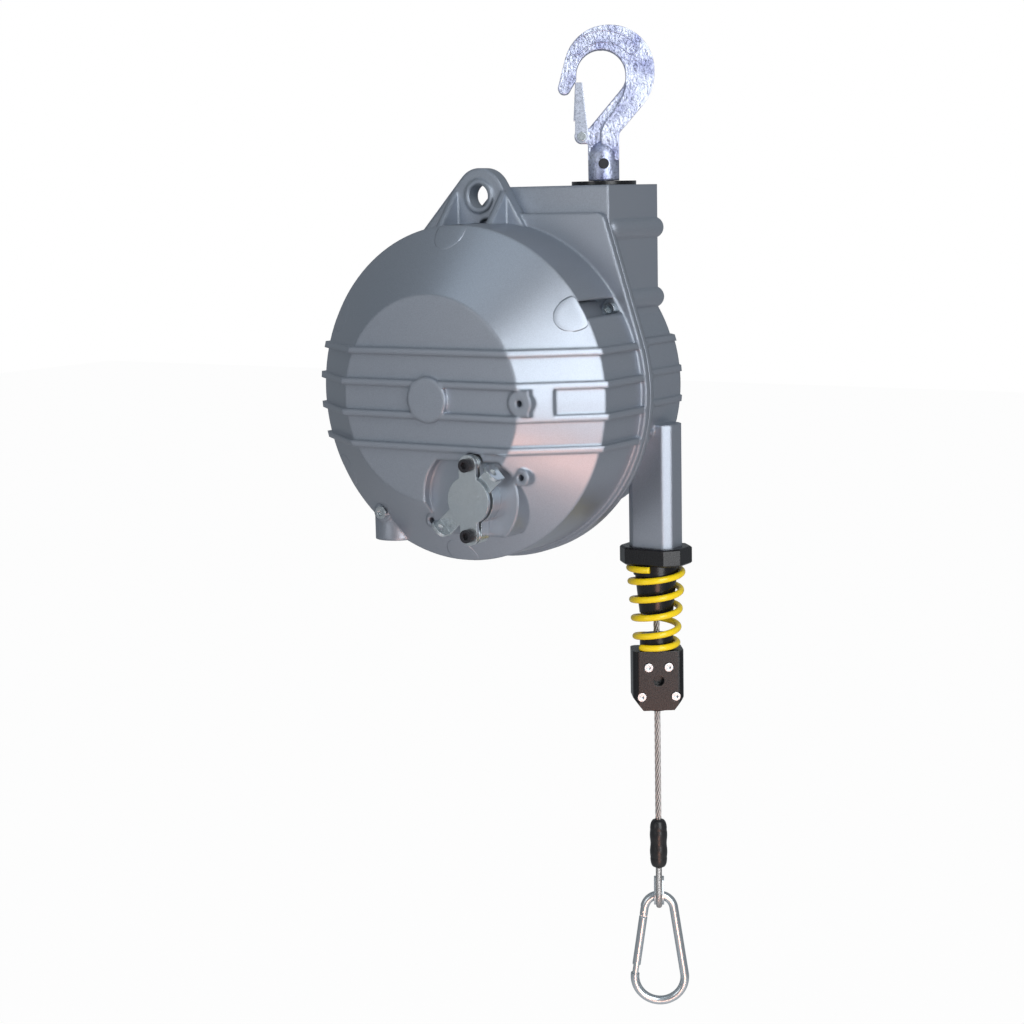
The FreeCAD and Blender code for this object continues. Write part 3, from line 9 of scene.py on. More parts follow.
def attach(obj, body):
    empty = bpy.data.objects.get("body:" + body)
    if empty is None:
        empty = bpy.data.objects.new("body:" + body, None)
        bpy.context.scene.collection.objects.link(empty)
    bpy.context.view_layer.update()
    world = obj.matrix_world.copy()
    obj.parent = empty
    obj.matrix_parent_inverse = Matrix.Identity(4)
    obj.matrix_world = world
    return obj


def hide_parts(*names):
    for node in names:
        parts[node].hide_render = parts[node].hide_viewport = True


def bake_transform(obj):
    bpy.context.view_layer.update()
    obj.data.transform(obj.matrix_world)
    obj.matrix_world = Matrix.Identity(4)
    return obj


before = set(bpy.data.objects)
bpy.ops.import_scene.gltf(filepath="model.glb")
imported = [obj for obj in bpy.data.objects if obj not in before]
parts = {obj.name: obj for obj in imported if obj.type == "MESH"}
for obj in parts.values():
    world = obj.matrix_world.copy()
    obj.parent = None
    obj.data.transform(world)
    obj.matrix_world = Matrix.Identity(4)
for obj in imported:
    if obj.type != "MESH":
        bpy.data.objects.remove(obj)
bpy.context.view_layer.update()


# ------------------------------------------------------------------ camera
# A long lens stands to the right of the front face and a little above it, so that the cover's face,
# its right side and the rope outlet all show.
SENSOR_W = 36.0                      # millimetres, as the focal length


def stand_camera(place, turn, tilt, roll, focal):
    """The camera looks back along the direction of its turn round Z and its tilt; roll is about that."""
    a, e, r = np.radians([turn, tilt, roll])
    back = np.array([np.sin(a) * np.cos(e), -np.cos(a) * np.cos(e), np.sin(e)])
    right = np.array([np.cos(a), np.sin(a), 0.0])
    up = np.cross(back, right)
    across = right * np.cos(r) + up * np.sin(r)
    upward = up * np.cos(r) - right * np.sin(r)
    lens = bpy.data.cameras.new("camera")
    lens.lens = focal
    lens.sensor_width = SENSOR_W
    lens.clip_end = 50.0
    camera = bpy.data.objects.new("camera", lens)
    bpy.context.collection.objects.link(camera)
    axes = np.column_stack([across, upward, back, place])
    camera.matrix_world = Matrix([*axes.tolist(), [0, 0, 0, 1]])
    bpy.context.scene.camera = camera


stand_camera(place=(0.7784, -1.3670, -0.1102), turn=32.45, tilt=8.95, roll=-1.2, focal=70.3)
bpy.context.scene.view_settings.view_transform = "Standard"


# ------------------------------------------------------------------ free rope
# The free rope is 5 mm galvanised wire rope of six strands laid round a core, with a lay of about 36 mm.
# It leaves the mouth of the rope guide, passes the stop clamp and ends in the pressed sleeve.
def grid_faces(points, closed=False):
    """Corners and faces of a surface from rings (rings, points round, xyz), closed on itself or capped."""
    rings, around = points.shape[:2]
    index = np.arange(rings * around).reshape(rings, around)
    first = index if closed else index[:-1]
    second = np.roll(index, -1, 0) if closed else index[1:]
    quads = np.stack([first, np.roll(first, -1, 1), np.roll(second, -1, 1), second], -1).reshape(-1, 4)
    corners = points.reshape(-1, 3)
    if closed:
        return corners, quads, np.empty((0, 3), int)
    low, high = rings * around, rings * around + 1
    start = np.stack([np.roll(index[0], -1), index[0], np.full(around, low)], -1)
    end = np.stack([index[-1], np.roll(index[-1], -1), np.full(around, high)], -1)
    return np.vstack([corners, points[0].mean(0), points[-1].mean(0)]), quads, np.vstack([start, end])


def grid_mesh(name, *surfaces, closed=False):
    """One smooth mesh from one surface or more, the corners of each counted on from the one before."""
    corners, faces, start = [], [], 0
    for points in surfaces:
        places, quads, fans = grid_faces(points, closed)
        corners.append(places)
        faces += (quads + start).tolist() + (fans + start).tolist()
        start += len(places)
    mesh = bpy.data.meshes.new(name)
    mesh.from_pydata(np.vstack(corners).tolist(), [], faces)
    mesh.polygons.foreach_set("use_smooth", np.ones(len(mesh.polygons), bool))
    mesh.update()
    return mesh


def add_piece(name, mesh, body, material):
    """Puts a finished mesh into the scene on the body that it moves with."""
    piece = bpy.data.objects.new(name, mesh)
    bpy.context.collection.objects.link(piece)
    mesh.materials.append(material)
    if body:
        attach(piece, body)
    return piece


def path_frames(points):
    """Tangents of a path and two directions across it, carried along without twist from the first point."""
    tangent = np.gradient(points, axis=0)
    tangent /= np.linalg.norm(tangent, axis=1)[:, None]
    side = np.empty_like(points)
    guess = np.array([1.0, 0, 0]) if abs(tangent[0, 0]) < 0.9 else np.array([0, 1.0, 0])
    for i, t in enumerate(tangent):
        guess = guess - t * (guess @ t)
        guess /= np.linalg.norm(guess)
        side[i] = guess
    return tangent, side, np.cross(tangent, side)


def along(points, step):
    """The same path with points an even step apart."""
    length = np.r_[0, np.cumsum(np.linalg.norm(np.diff(points, axis=0), axis=1))]
    at = np.linspace(0, length[-1], max(int(length[-1] / step), 8) + 1)
    return np.stack([np.interp(at, length, points[:, k]) for k in range(3)], 1), at


def laid_strands(points, step, strands, strand_r, ring_r, lay, around=10):
    """Each strand is a round section whose centre winds once round the path in every lay length."""
    points, at = along(points, step)
    tangent, side, across = path_frames(points)
    meshes = []
    for k in range(strands):
        turn = 2 * np.pi * (at / lay + k / strands)
        radial = side * np.cos(turn)[:, None] + across * np.sin(turn)[:, None]
        centre = points + radial * ring_r
        round_it = np.cross(tangent, radial)
        angle = 2 * np.pi * np.arange(around) / around
        ring = centre[:, None] + strand_r * (radial[:, None] * np.cos(angle)[:, None]
                                             + round_it[:, None] * np.sin(angle)[:, None])
        meshes.append(ring)
    return meshes


def new_material(name):
    """A Principled material with Object coordinates ready to use."""
    material = bpy.data.materials.new(name)
    material.use_nodes = True
    tree = material.node_tree
    shader = tree.nodes["Principled BSDF"]
    place = tree.nodes.new("ShaderNodeTexCoord")
    return material, tree, shader, place.outputs["Object"]


def rope_steel(name, with_gap_shade):
    """Bright wire with fine diagonal bands, real relief whose dark colour is painted shade between the wires;
    with gap shade on, a mesh attribute paints shade into the gaps between strands.
    """
    material, tree, shader, where = new_material(name)
    wire = tree.links.new
    lines = tree.nodes.new("ShaderNodeTexWave")
    lines.wave_type = "BANDS"
    lines.bands_direction = "DIAGONAL"
    lines.inputs["Scale"].default_value = 420.0
    lines.inputs["Distortion"].default_value = 1.5
    wire(where, lines.inputs["Vector"])
    tone = tree.nodes.new("ShaderNodeValToRGB")
    # The dark end of this ramp is painted shade between the wires. It is lighter where the painted gap shade
    # below darkens the strands.
    tone.color_ramp.elements[0].color = (0.30, 0.28, 0.27, 1) if with_gap_shade else (0.10, 0.10, 0.10, 1)
    tone.color_ramp.elements[1].color = (0.80, 0.77, 0.75, 1)
    wire(lines.outputs["Fac"], tone.inputs[0])
    wire(tone.outputs[0], shader.inputs["Base Color"])
    if with_gap_shade:
        # Painted shade: the gap_shade attribute, the distance from the rope's axis, darkens the inward sides
        # of the strands where the gaps lie in shadow.
        gap_shade = tree.nodes.new("ShaderNodeAttribute")
        gap_shade.attribute_name = "gap_shade"
        dark = tree.nodes.new("ShaderNodeMapRange")
        dark.inputs[1].default_value = 0.62
        dark.inputs[2].default_value = 0.86
        dark.inputs[3].default_value = 0.02
        shade = tree.nodes.new("ShaderNodeMix")
        shade.data_type = "RGBA"
        shade.blend_type = "MULTIPLY"
        shade.inputs[0].default_value = 1.0
        wire(gap_shade.outputs["Fac"], dark.inputs[0])
        wire(tone.outputs[0], shade.inputs[6])
        wire(dark.outputs[0], shade.inputs[7])
        wire(shade.outputs[2], shader.inputs["Base Color"])
    relief = tree.nodes.new("ShaderNodeBump")
    relief.inputs["Strength"].default_value = 0.5
    relief.inputs["Distance"].default_value = 0.0002
    wire(lines.outputs["Fac"], relief.inputs["Height"])
    wire(relief.outputs[0], shader.inputs["Normal"])
    shader.inputs["Metallic"].default_value = 0.9
    shader.inputs["Roughness"].default_value = 0.35
    return material


ROPE_STEEL = rope_steel("rope_steel", False)
ROPE_STRANDS = rope_steel("rope_strands", True)
ROPE_AT = (0.031103, 0.021)          # where the rope hangs, from the hook
GUIDE_MOUTH = -0.4423
SLEEVE_TOP = -0.614
ROPE_D = 0.005
ROPE_ROUTE = [(*ROPE_AT, GUIDE_MOUTH), (*ROPE_AT, (GUIDE_MOUTH + SLEEVE_TOP) / 2), (*ROPE_AT, SLEEVE_TOP)]


def spline_points(route):
    """Points of a smooth line drawn with the route as its control points."""
    curve = bpy.data.curves.new("line", "CURVE")
    curve.dimensions = "3D"
    spline = curve.splines.new("NURBS")
    spline.points.add(len(route) - 1)
    for point, place in zip(spline.points, route):
        point.co = (*place, 1)
    spline.order_u = 3
    spline.use_endpoint_u = True
    spline.resolution_u = 16
    holder = bpy.data.objects.new("line", curve)
    bpy.context.collection.objects.link(holder)
    bpy.context.view_layer.update()
    mesh = bpy.data.meshes.new_from_object(holder)
    points = np.array([v.co for v in mesh.vertices], float)
    bpy.data.objects.remove(holder)
    bpy.data.curves.remove(curve)
    bpy.data.meshes.remove(mesh)
    return points


rope_line = spline_points(ROPE_ROUTE)
STRANDS = 6
STRAND_R = 0.00083
STRAND_STEP = 0.0008                 # between the rings of a strand
ROPE_LAY = 0.036
strands = laid_strands(rope_line, STRAND_STEP, STRANDS, STRAND_R, ROPE_D / 2 - STRAND_R, ROPE_LAY)
free_rope = add_piece("free_rope", grid_mesh("free_rope", *strands), None, ROPE_STRANDS)
corners = np.empty(len(free_rope.data.vertices) * 3)
free_rope.data.vertices.foreach_get("co", corners)
# Painted shade: each corner's distance from the rope's axis, kept so that the material darkens the inward,
# shaded sides of the strands.
from_axis = np.linalg.norm(corners.reshape(-1, 3)[:, :2] - np.array(ROPE_AT), axis=1) * 2 / ROPE_D
free_rope.data.attributes.new("gap_shade", "FLOAT", "POINT").data.foreach_set("value", from_axis)
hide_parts("rope")
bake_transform(free_rope)


# ------------------------------------------------------------------ floor and light
# The unit hangs free in a white room: a pale floor well below it, a large soft lamp at the right,
# a cool one above, a small warm one low on the right and a plain one in front.
def lamp(name, place, aim, size, watts, color):
    """A rectangular area lamp that faces the point it is aimed at."""
    light = bpy.data.lights.new(name, "AREA")
    light.shape = "RECTANGLE"
    light.size, light.size_y = size
    light.energy = watts
    light.color = color
    holder = bpy.data.objects.new(name, light)
    bpy.context.collection.objects.link(holder)
    holder.location = place
    direction = Vector(place) - Vector(aim)
    holder.rotation_euler = direction.to_track_quat("Z", "Y").to_euler()


CASE_HEART = (-0.07, -0.05, -0.25)
COVER_LOWER_RIGHT = (-0.02, -0.1, -0.35)
lamp("key", (1.40, -1.00, 0.25), CASE_HEART, size=(0.9, 2.4), watts=31, color=(0.95, 0.98, 1.0))
lamp("top", (-0.3, -0.9, 1.5), CASE_HEART, size=(1.2, 0.8), watts=2.5, color=(0.78, 0.90, 1.0))
lamp("low_warm", (0.9, -1.1, -1.2), COVER_LOWER_RIGHT, size=(0.5, 0.4), watts=5, color=(1.0, 0.50, 0.36))
lamp("front", (-0.6, -2.2, -0.1), CASE_HEART, size=(0.8, 1.2), watts=5, color=(1.0, 1.0, 1.0))


def white_room():
    """The sky is white to the camera, and a dim cool grey where it lights the object."""
    world = bpy.data.worlds.new("room")
    bpy.context.scene.world = world
    world.use_nodes = True
    tree = world.node_tree
    wire = tree.links.new
    path = tree.nodes.new("ShaderNodeLightPath")
    seen = tree.nodes.new("ShaderNodeBackground")
    seen.inputs["Color"].default_value = (1, 1, 1, 1)
    lit = tree.nodes["Background"]
    lit.inputs["Color"].default_value = (0.86, 0.93, 1.0, 1)
    lit.inputs["Strength"].default_value = 0.30
    mix = tree.nodes.new("ShaderNodeMixShader")
    wire(path.outputs["Is Camera Ray"], mix.inputs[0])
    wire(lit.outputs[0], mix.inputs[1])
    wire(seen.outputs[0], mix.inputs[2])
    wire(mix.outputs[0], tree.nodes["World Output"].inputs["Surface"])


white_room()


def floor_finish():
    """Matt white paint; to the camera it is lifted towards white, and keeps part of its shade."""
    material = bpy.data.materials.new("floor")
    material.use_nodes = True
    tree = material.node_tree
    wire = tree.links.new
    shader = tree.nodes["Principled BSDF"]
    shader.inputs["Base Color"].default_value = (0.9, 0.9, 0.9, 1)
    shader.inputs["Roughness"].default_value = 0.9
    glow = tree.nodes.new("ShaderNodeEmission")
    path = tree.nodes.new("ShaderNodeLightPath")
    share = tree.nodes.new("ShaderNodeMath")
    share.operation = "MULTIPLY"
    share.inputs[1].default_value = 0.975
    mix = tree.nodes.new("ShaderNodeMixShader")
    wire(path.outputs["Is Camera Ray"], share.inputs[0])
    wire(share.outputs[0], mix.inputs[0])
    wire(shader.outputs[0], mix.inputs[1])
    wire(glow.outputs[0], mix.inputs[2])
    wire(mix.outputs[0], tree.nodes["Material Output"].inputs["Surface"])
    return material


def lay_floor(height, reach):
    """A flat square below the unit."""
    mesh = bpy.data.meshes.new("floor")
    square = ((-reach, -reach), (reach, -reach), (reach, reach), (-reach, reach))
    mesh.from_pydata([(x, y, height) for x, y in square], [], [(0, 1, 2, 3)])
    mesh.materials.append(floor_finish())
    floor = bpy.data.objects.new("floor", mesh)
    bpy.context.collection.objects.link(floor)


lay_floor(height=-1.5, reach=12.0)


# ------------------------------------------------------------------ rear housing
# The rear housing is an aluminium pressure die casting, shot-blasted and sprayed with silver metallic enamel.
# It carries the drum, the tower for the hook and the square outlet for the rope.
def grain_group():
    """Fine noise as a tone round 1 and as a height, for paint flakes, castings and moulded skins."""
    group = bpy.data.node_groups.new("fine_grain", "ShaderNodeTree")
    for name, kind, value in (("Vector", "NodeSocketVector", None), ("Scale", "NodeSocketFloat", 900.0),
                              ("Contrast", "NodeSocketFloat", 0.2)):
        socket = group.interface.new_socket(name, in_out="INPUT", socket_type=kind)
        if value is not None:
            socket.default_value = value
    for name in ("Tone", "Height"):
        group.interface.new_socket(name, in_out="OUTPUT", socket_type="NodeSocketFloat")
    entry = group.nodes.new("NodeGroupInput")
    leave = group.nodes.new("NodeGroupOutput")
    noise = group.nodes.new("ShaderNodeTexNoise")
    noise.inputs["Detail"].default_value = 3.0
    noise.inputs["Roughness"].default_value = 0.6
    spread = group.nodes.new("ShaderNodeMath")
    spread.operation = "SUBTRACT"
    spread.inputs[1].default_value = 0.5
    times = group.nodes.new("ShaderNodeMath")
    times.operation = "MULTIPLY_ADD"
    times.inputs[2].default_value = 1.0
    wire = group.links.new
    wire(entry.outputs["Vector"], noise.inputs["Vector"])
    wire(entry.outputs["Scale"], noise.inputs["Scale"])
    wire(noise.outputs["Fac"], spread.inputs[0])
    wire(spread.outputs[0], times.inputs[0])
    wire(entry.outputs["Contrast"], times.inputs[1])
    wire(times.outputs[0], leave.inputs["Tone"])
    wire(noise.outputs["Fac"], leave.inputs["Height"])
    return group


FINE_GRAIN = grain_group()


def grained(name, color, roughness, metallic, scale, contrast, bump=0.1, depth=0.0001, edge=0.0, cloud=0.0,
            cloud_scale=12.0, cloud_color=None):
    """A finish whose colour and height carry fine grain; broad clouds may shift it to a second colour."""
    material, tree, shader, where = new_material(name)
    wire = tree.links.new
    grain = tree.nodes.new("ShaderNodeGroup")
    grain.node_tree = FINE_GRAIN
    grain.inputs["Scale"].default_value = scale
    grain.inputs["Contrast"].default_value = contrast
    wire(where, grain.inputs["Vector"])
    tint = tree.nodes.new("ShaderNodeMix")
    tint.data_type = "RGBA"
    tint.blend_type = "MULTIPLY"
    tint.inputs[0].default_value = 1.0
    tint.inputs[6].default_value = (*color, 1)
    wire(grain.outputs["Tone"], tint.inputs[7])
    if cloud:
        broad = tree.nodes.new("ShaderNodeTexNoise")
        broad.inputs["Scale"].default_value = cloud_scale
        broad.inputs["Detail"].default_value = 2.0
        ramp = tree.nodes.new("ShaderNodeMapRange")
        ramp.inputs[1].default_value = 0.35
        ramp.inputs[2].default_value = 0.7
        ramp.inputs[4].default_value = cloud
        mix = tree.nodes.new("ShaderNodeMix")
        mix.data_type = "RGBA"
        mix.inputs[6].default_value = (*color, 1)
        mix.inputs[7].default_value = (*(cloud_color or color), 1)
        wire(where, broad.inputs["Vector"])
        wire(broad.outputs["Fac"], ramp.inputs[0])
        wire(ramp.outputs[0], mix.inputs[0])
        wire(mix.outputs[2], tint.inputs[6])
    wire(tint.outputs[2], shader.inputs["Base Color"])
    rough = tree.nodes.new("ShaderNodeMath")
    rough.operation = "MULTIPLY"
    rough.inputs[1].default_value = roughness
    wire(grain.outputs["Tone"], rough.inputs[0])
    wire(rough.outputs[0], shader.inputs["Roughness"])
    relief = tree.nodes.new("ShaderNodeBump")
    relief.inputs["Strength"].default_value = bump
    relief.inputs["Distance"].default_value = depth
    wire(grain.outputs["Height"], relief.inputs["Height"])
    if edge:
        soft = tree.nodes.new("ShaderNodeBevel")
        soft.samples = 6
        soft.inputs["Radius"].default_value = edge
        wire(soft.outputs[0], relief.inputs["Normal"])
    wire(relief.outputs[0], shader.inputs["Normal"])
    shader.inputs["Metallic"].default_value = metallic
    return material


def dress(names, material):
    """Gives CAD pieces a finish in all of their slots."""
    for name in names:
        piece = parts[name]
        if not piece.material_slots:
            piece.data.materials.append(material)
        for slot in piece.material_slots:
            slot.link = "OBJECT"
            slot.material = material


CAST_SILVER = grained("cast_silver", (0.35, 0.38, 0.43), roughness=0.38, metallic=0.75, scale=1400,
                      contrast=0.6, bump=0.3, depth=0.00012, edge=0.0035, cloud=0.5, cloud_scale=6.0,
                      cloud_color=(0.31, 0.35, 0.41))
CAST_PLAIN = grained("cast_plain", (0.35, 0.38, 0.43), roughness=0.38, metallic=0.75, scale=1400,
                     contrast=0.6, bump=0.3, depth=0.00012, edge=0.0, cloud=0.5, cloud_scale=6.0,
                     cloud_color=(0.31, 0.35, 0.41))
dress(["rear_housing"], CAST_SILVER)

# ------------------------------------------------------------------ front cover
# The front cover is cast and painted like the housing. Its ribs, boss, safety eye and brake platform are
# cast on, and five socket screws in scooped troughs hold it to the rear flange.
dress(["front_cover"], CAST_SILVER)
ZINC = grained("zinc_steel", (0.62, 0.66, 0.68), roughness=0.26, metallic=0.95, scale=500, contrast=0.25,
               bump=0.08, depth=0.00005, edge=0.0004, cloud=0.4, cloud_scale=40.0,
               cloud_color=(0.55, 0.62, 0.68))
dress(["cover_screws"], ZINC)
DRUM_AXIS = (-0.075, -0.259)
COVER_FRONT = -0.138
SCREW_CIRCLE = 0.124                 # radius of the ring of cover screws
SCREW_ANGLES = (31, 91, 151, 211, 271)
WEB_CIRCLE = 0.1195                  # radius at which the webs' middles lie
POCKET_R = 0.0135                    # the trough's wall round a screw
COVER_WALL = 0.1289                  # just inside the cover's outer wall
CONE_FROM, CONE_RUN, CONE_DROP = 0.0785, 0.0505, 0.042
WEB_FOOT = 0.074                     # depth of a web's flat foot below the cover's face
WEB_AROUND = 48
WEB_RINGS = ((0.62, None), (0.62, 0.01), (1, 0.0001), (0.9, -0.0001), (0.6, -0.0001), (0.3, -0.0001))


def trough_web(angle):
    """A screw trough cast solid down to a pocket: a D-shaped block topped by the cone's surface.

    Round the web's middle, the rim lies at the nearer of the pocket's circle and the cover's wall. Each ring
    takes a share of that reach, and its depth is the cone's, sunk by a little, or the flat foot's.
    """
    out = np.array([np.cos(angle), np.sin(angle)])
    screw, heart = SCREW_CIRCLE * out, WEB_CIRCLE * out
    round_it = 2 * np.pi * np.arange(WEB_AROUND) / WEB_AROUND
    ways = np.stack([np.cos(round_it), np.sin(round_it)], 1)
    walls = ((heart - screw, POCKET_R), (heart, COVER_WALL))
    reach = np.min([-(ways @ c) + np.sqrt((ways @ c) ** 2 - c @ c + r * r) for c, r in walls], axis=0)
    rings = []
    for share, sink in WEB_RINGS:
        flat = heart + ways * reach[:, None] * share
        slope = CONE_DROP * (np.linalg.norm(flat, axis=1) - CONE_FROM) / CONE_RUN
        depth = np.full(WEB_AROUND, WEB_FOOT) if sink is None else slope + sink
        rings.append(np.stack([DRUM_AXIS[0] + flat[:, 0], COVER_FRONT + depth, DRUM_AXIS[1] + flat[:, 1]], 1))
    return np.array(rings)[:, ::-1]


for screw_angle in SCREW_ANGLES:
    name = f"trough_web_{screw_angle}"
    web_mesh = grid_mesh(name, trough_web(np.radians(screw_angle)))
    add_piece(name, web_mesh, "housing", CAST_PLAIN)

# ------------------------------------------------------------------ swivel hook
# The hook is a drop forging, galvanised after blasting, with a pressed latch on a riveted pin.
# A stem through a thrust bearing lets it swivel on the tower.
FORGED = grained("forged_hook", (0.62, 0.66, 0.80), roughness=0.34, metallic=0.85, scale=500, contrast=1.6,
                 bump=0.8, depth=0.0006, edge=0.0012, cloud=0.9, cloud_scale=60.0,
                 cloud_color=(0.22, 0.24, 0.42))
BARE = grained("bare_steel", (0.50, 0.51, 0.53), roughness=0.3, metallic=1.0, scale=700, contrast=0.3,
               bump=0.1, depth=0.00005)
BLACK_OXIDE = grained("black_oxide", (0.035, 0.035, 0.04), roughness=0.4, metallic=0.6, scale=700,
                      contrast=0.5, bump=0.1, depth=0.00005, edge=0.0004)
dress(["load_hook"], FORGED)
HOOK_TURN = np.radians(30.0)
FRAME_R, FRAME_HALF = 0.0285, 0.0043     # middle of the slot and half its width
FRAME_REACH = np.radians([137.0, 42.0])
FRAME_MIDDLE = (0.001, -0.0190)          # centre of its arcs on the hook's plane
FRAME_BEAD_R = 0.0007
CHEEK_FRONT = 0.0084                     # where the bead lies on the forging's face


def on_hook(u, front, w):
    """A place on the hook: u across its plane, front towards the viewer's side, w up from the bowl."""
    return np.stack([u * np.cos(HOOK_TURN) + front * np.sin(HOOK_TURN),
                     u * np.sin(HOOK_TURN) - front * np.cos(HOOK_TURN), w], -1)


def raised_frame():
    """A thin raised bead round a slot that follows the hook's crown: two arcs joined by half circles."""
    sweep = np.linspace(*FRAME_REACH, 60)
    cap = np.linspace(0, np.pi, 16)[1:-1]
    bulge = FRAME_HALF * np.sin(cap) / FRAME_R
    radius = np.r_[np.full(60, FRAME_R + FRAME_HALF), FRAME_R + FRAME_HALF * np.cos(cap),
                   np.full(60, FRAME_R - FRAME_HALF), FRAME_R + FRAME_HALF * np.cos(np.pi + cap)]
    angle = np.r_[sweep, FRAME_REACH[1] - bulge, sweep[::-1], FRAME_REACH[0] + bulge]
    path = on_hook(FRAME_MIDDLE[0] + radius * np.cos(angle), np.full(len(radius), CHEEK_FRONT),
                   FRAME_MIDDLE[1] + radius * np.sin(angle))
    ahead = np.roll(path, -1, 0) - np.roll(path, 1, 0)
    ahead /= np.linalg.norm(ahead, axis=1)[:, None]
    out = on_hook(0.0, 1.0, 0.0)
    across = np.cross(ahead, out)
    turn = 2 * np.pi * np.arange(8) / 8
    return path[:, None] + FRAME_BEAD_R * (across[:, None] * np.cos(turn)[:, None]
                                           + out * np.sin(turn)[:, None])


def rounded_line(corners, step=np.radians(7.5)):
    """A closed outline of straight sides joined by tangent arcs; each corner is (u, w, radius) in mm."""
    points = []
    place = np.array(corners, float)
    for before, here, after in zip(np.roll(place, 1, 0), place, np.roll(place, -1, 0)):
        come = (before - here)[:2] / np.linalg.norm((before - here)[:2])
        leave = (after - here)[:2] / np.linalg.norm((after - here)[:2])
        if here[2] == 0:
            points.append(here[None, :2])
            continue
        half = np.arccos(np.clip(come @ leave, -1, 1)) / 2
        inward = (come + leave) / np.linalg.norm(come + leave)
        centre = here[:2] + inward * here[2] / np.sin(half)
        start = here[:2] + come * here[2] / np.tan(half) - centre
        sweep = np.sign(start[0] * inward[1] - start[1] * inward[0]) * (np.pi - 2 * half)
        turn = np.linspace(0, -sweep, max(int(abs(sweep) / step), 2) + 1)[:, None]
        points.append(centre + (start * np.cos(turn) + np.array([-start[1], start[0]]) * np.sin(turn)))
    return np.vstack(points) / 1000


MERGE_UNDER = 0.00005


def hook_plate(name, outline, half, soft):
    """A flat plate of the hook, half its thickness to each side, with its rim rounded by a bevel."""
    count = len(outline)
    back = on_hook(outline[:, 0], np.full(count, -half), outline[:, 1])
    front = on_hook(outline[:, 0], np.full(count, half), outline[:, 1])
    ring = np.arange(count)
    onward = np.roll(ring, -1)
    rim_faces = np.stack([onward, ring, ring + count, onward + count], 1)
    faces = [ring.tolist(), (ring[::-1] + count).tolist()] + rim_faces.tolist()
    mesh = bpy.data.meshes.new(name)
    mesh.from_pydata(np.vstack([back, front]).tolist(), [], faces)
    rim = bmesh.new()
    rim.from_mesh(mesh)
    bmesh.ops.remove_doubles(rim, verts=rim.verts, dist=MERGE_UNDER)
    bmesh.ops.recalc_face_normals(rim, faces=rim.faces)
    rim.to_mesh(mesh)
    rim.free()
    piece = add_piece(name, mesh, "hook", FORGED)
    bevel = piece.modifiers.new("rim", "BEVEL")
    bevel.width = soft
    bevel.segments = 4
    bevel.limit_method = "ANGLE"
    bevel.angle_limit = np.radians(50)
    return piece


# corners (u, w, radius) of the outlines in millimetres, clockwise from the bowl
BOWL = [(-20.2, 0, 18.99), (17.8, 0, 18.99)]
BACK = [(12, -84, 0), (12, -63.5, 8), (39.7, -32.2, 36), (39.7, 18, 34.4),
        (-21.7, 18, 33.5), (-35.9, -33.8, 4.6), (-26.8, -33.2, 4.2), (-20.2, -22.4, 5)]
CHEEK = [(17.6, -29, 5), (15.6, -35, 3), (8.7, -46, 8), (1.3, -55.2, 6), (-1.5, -62, 4), (-1.5, -84, 0)]
BOSS = [(17.8, -26, 16), (-11.2, -59.4, 2), (-22.3, -59.6, 5.5), (-22.3, -71.0, 5.5), (-12, -71.0, 1),
        (-12, -84, 0)]
SHANK = [(0.0088, -0.0992), (0.0119, -0.0992), (0.012, -0.0980), (0.012, -0.0790), (0.0112, -0.0760),
         (0.0085, -0.0715), (0.0045, -0.0690)]
WEB_SHARE = 0.999                    # keeps the web's rim just inside the forging's


def turned_piece(profile, centre, around=48):
    """Rings of a round piece on an upright axis, from (radius, height) pairs listed from the low end up."""
    radius, height = np.array(profile).T[:, :, None]
    angle = 2 * np.pi * np.arange(around) / around
    return np.stack([centre[0] + radius * np.cos(angle), centre[1] + radius * np.sin(angle),
                     height + np.zeros(around)], -1)


forging = hook_plate("hook_forging", rounded_line(BOWL + CHEEK + BACK), half=0.0085, soft=0.0034)
hook_plate("hook_web", rounded_line(BOWL + BOSS + BACK) * WEB_SHARE, half=0.0044, soft=0.0008)
shank_mesh = grid_mesh("hook_shank", turned_piece(SHANK, (0.0, 0.0)))
add_piece("hook_shank", shank_mesh, "hook", FORGED)
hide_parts("load_hook")
frame_mesh = grid_mesh("hook_frame", raised_frame(), closed=True)
add_piece("hook_frame", frame_mesh, "hook", FORGED)
LATCH = grained("latch", (0.66, 0.70, 0.82), roughness=0.28, metallic=0.9, scale=500, contrast=0.5,
                bump=0.2, depth=0.0001, edge=0.0008)
dress(["hook_latch"], LATCH)
dress(["latch_pin", "hook_nut"], ZINC)
dress(["hook_stem", "swivel_bearing"], BARE)
dress(["hook_cross_pin"], BLACK_OXIDE)
BLACK_PLASTIC = grained("black_plastic", (0.005, 0.005, 0.006), roughness=0.27, metallic=0.0, scale=900,
                        contrast=0.35, bump=0.2, depth=0.0001, edge=0.0008)
dress(["swivel_washer"], BLACK_PLASTIC)

# ------------------------------------------------------------------ rope outlet and bumper spring
# A moulded collar and a tapered guide close the outlet. The bumper spring between the collar and the stop
# clamp is cold-coiled wire, powder-coated yellow.
dress(["outlet_collar", "rope_guide"], BLACK_PLASTIC)
YELLOW = grained("yellow_spring", (0.90, 0.66, 0.01), roughness=0.22, metallic=0.0, scale=600,
                 contrast=0.12, bump=0.06, depth=0.00005)
SPRING_TOP = -0.401
SPRING_LOW = -0.471
SPRING_WIRE_R = 0.0026
SPRING_TOP_R, SPRING_NARROWS = 0.0213, 0.0050
SPRING_TURNS = 5.1
SPRING_START = np.radians(284.5)     # where the wire's top end points


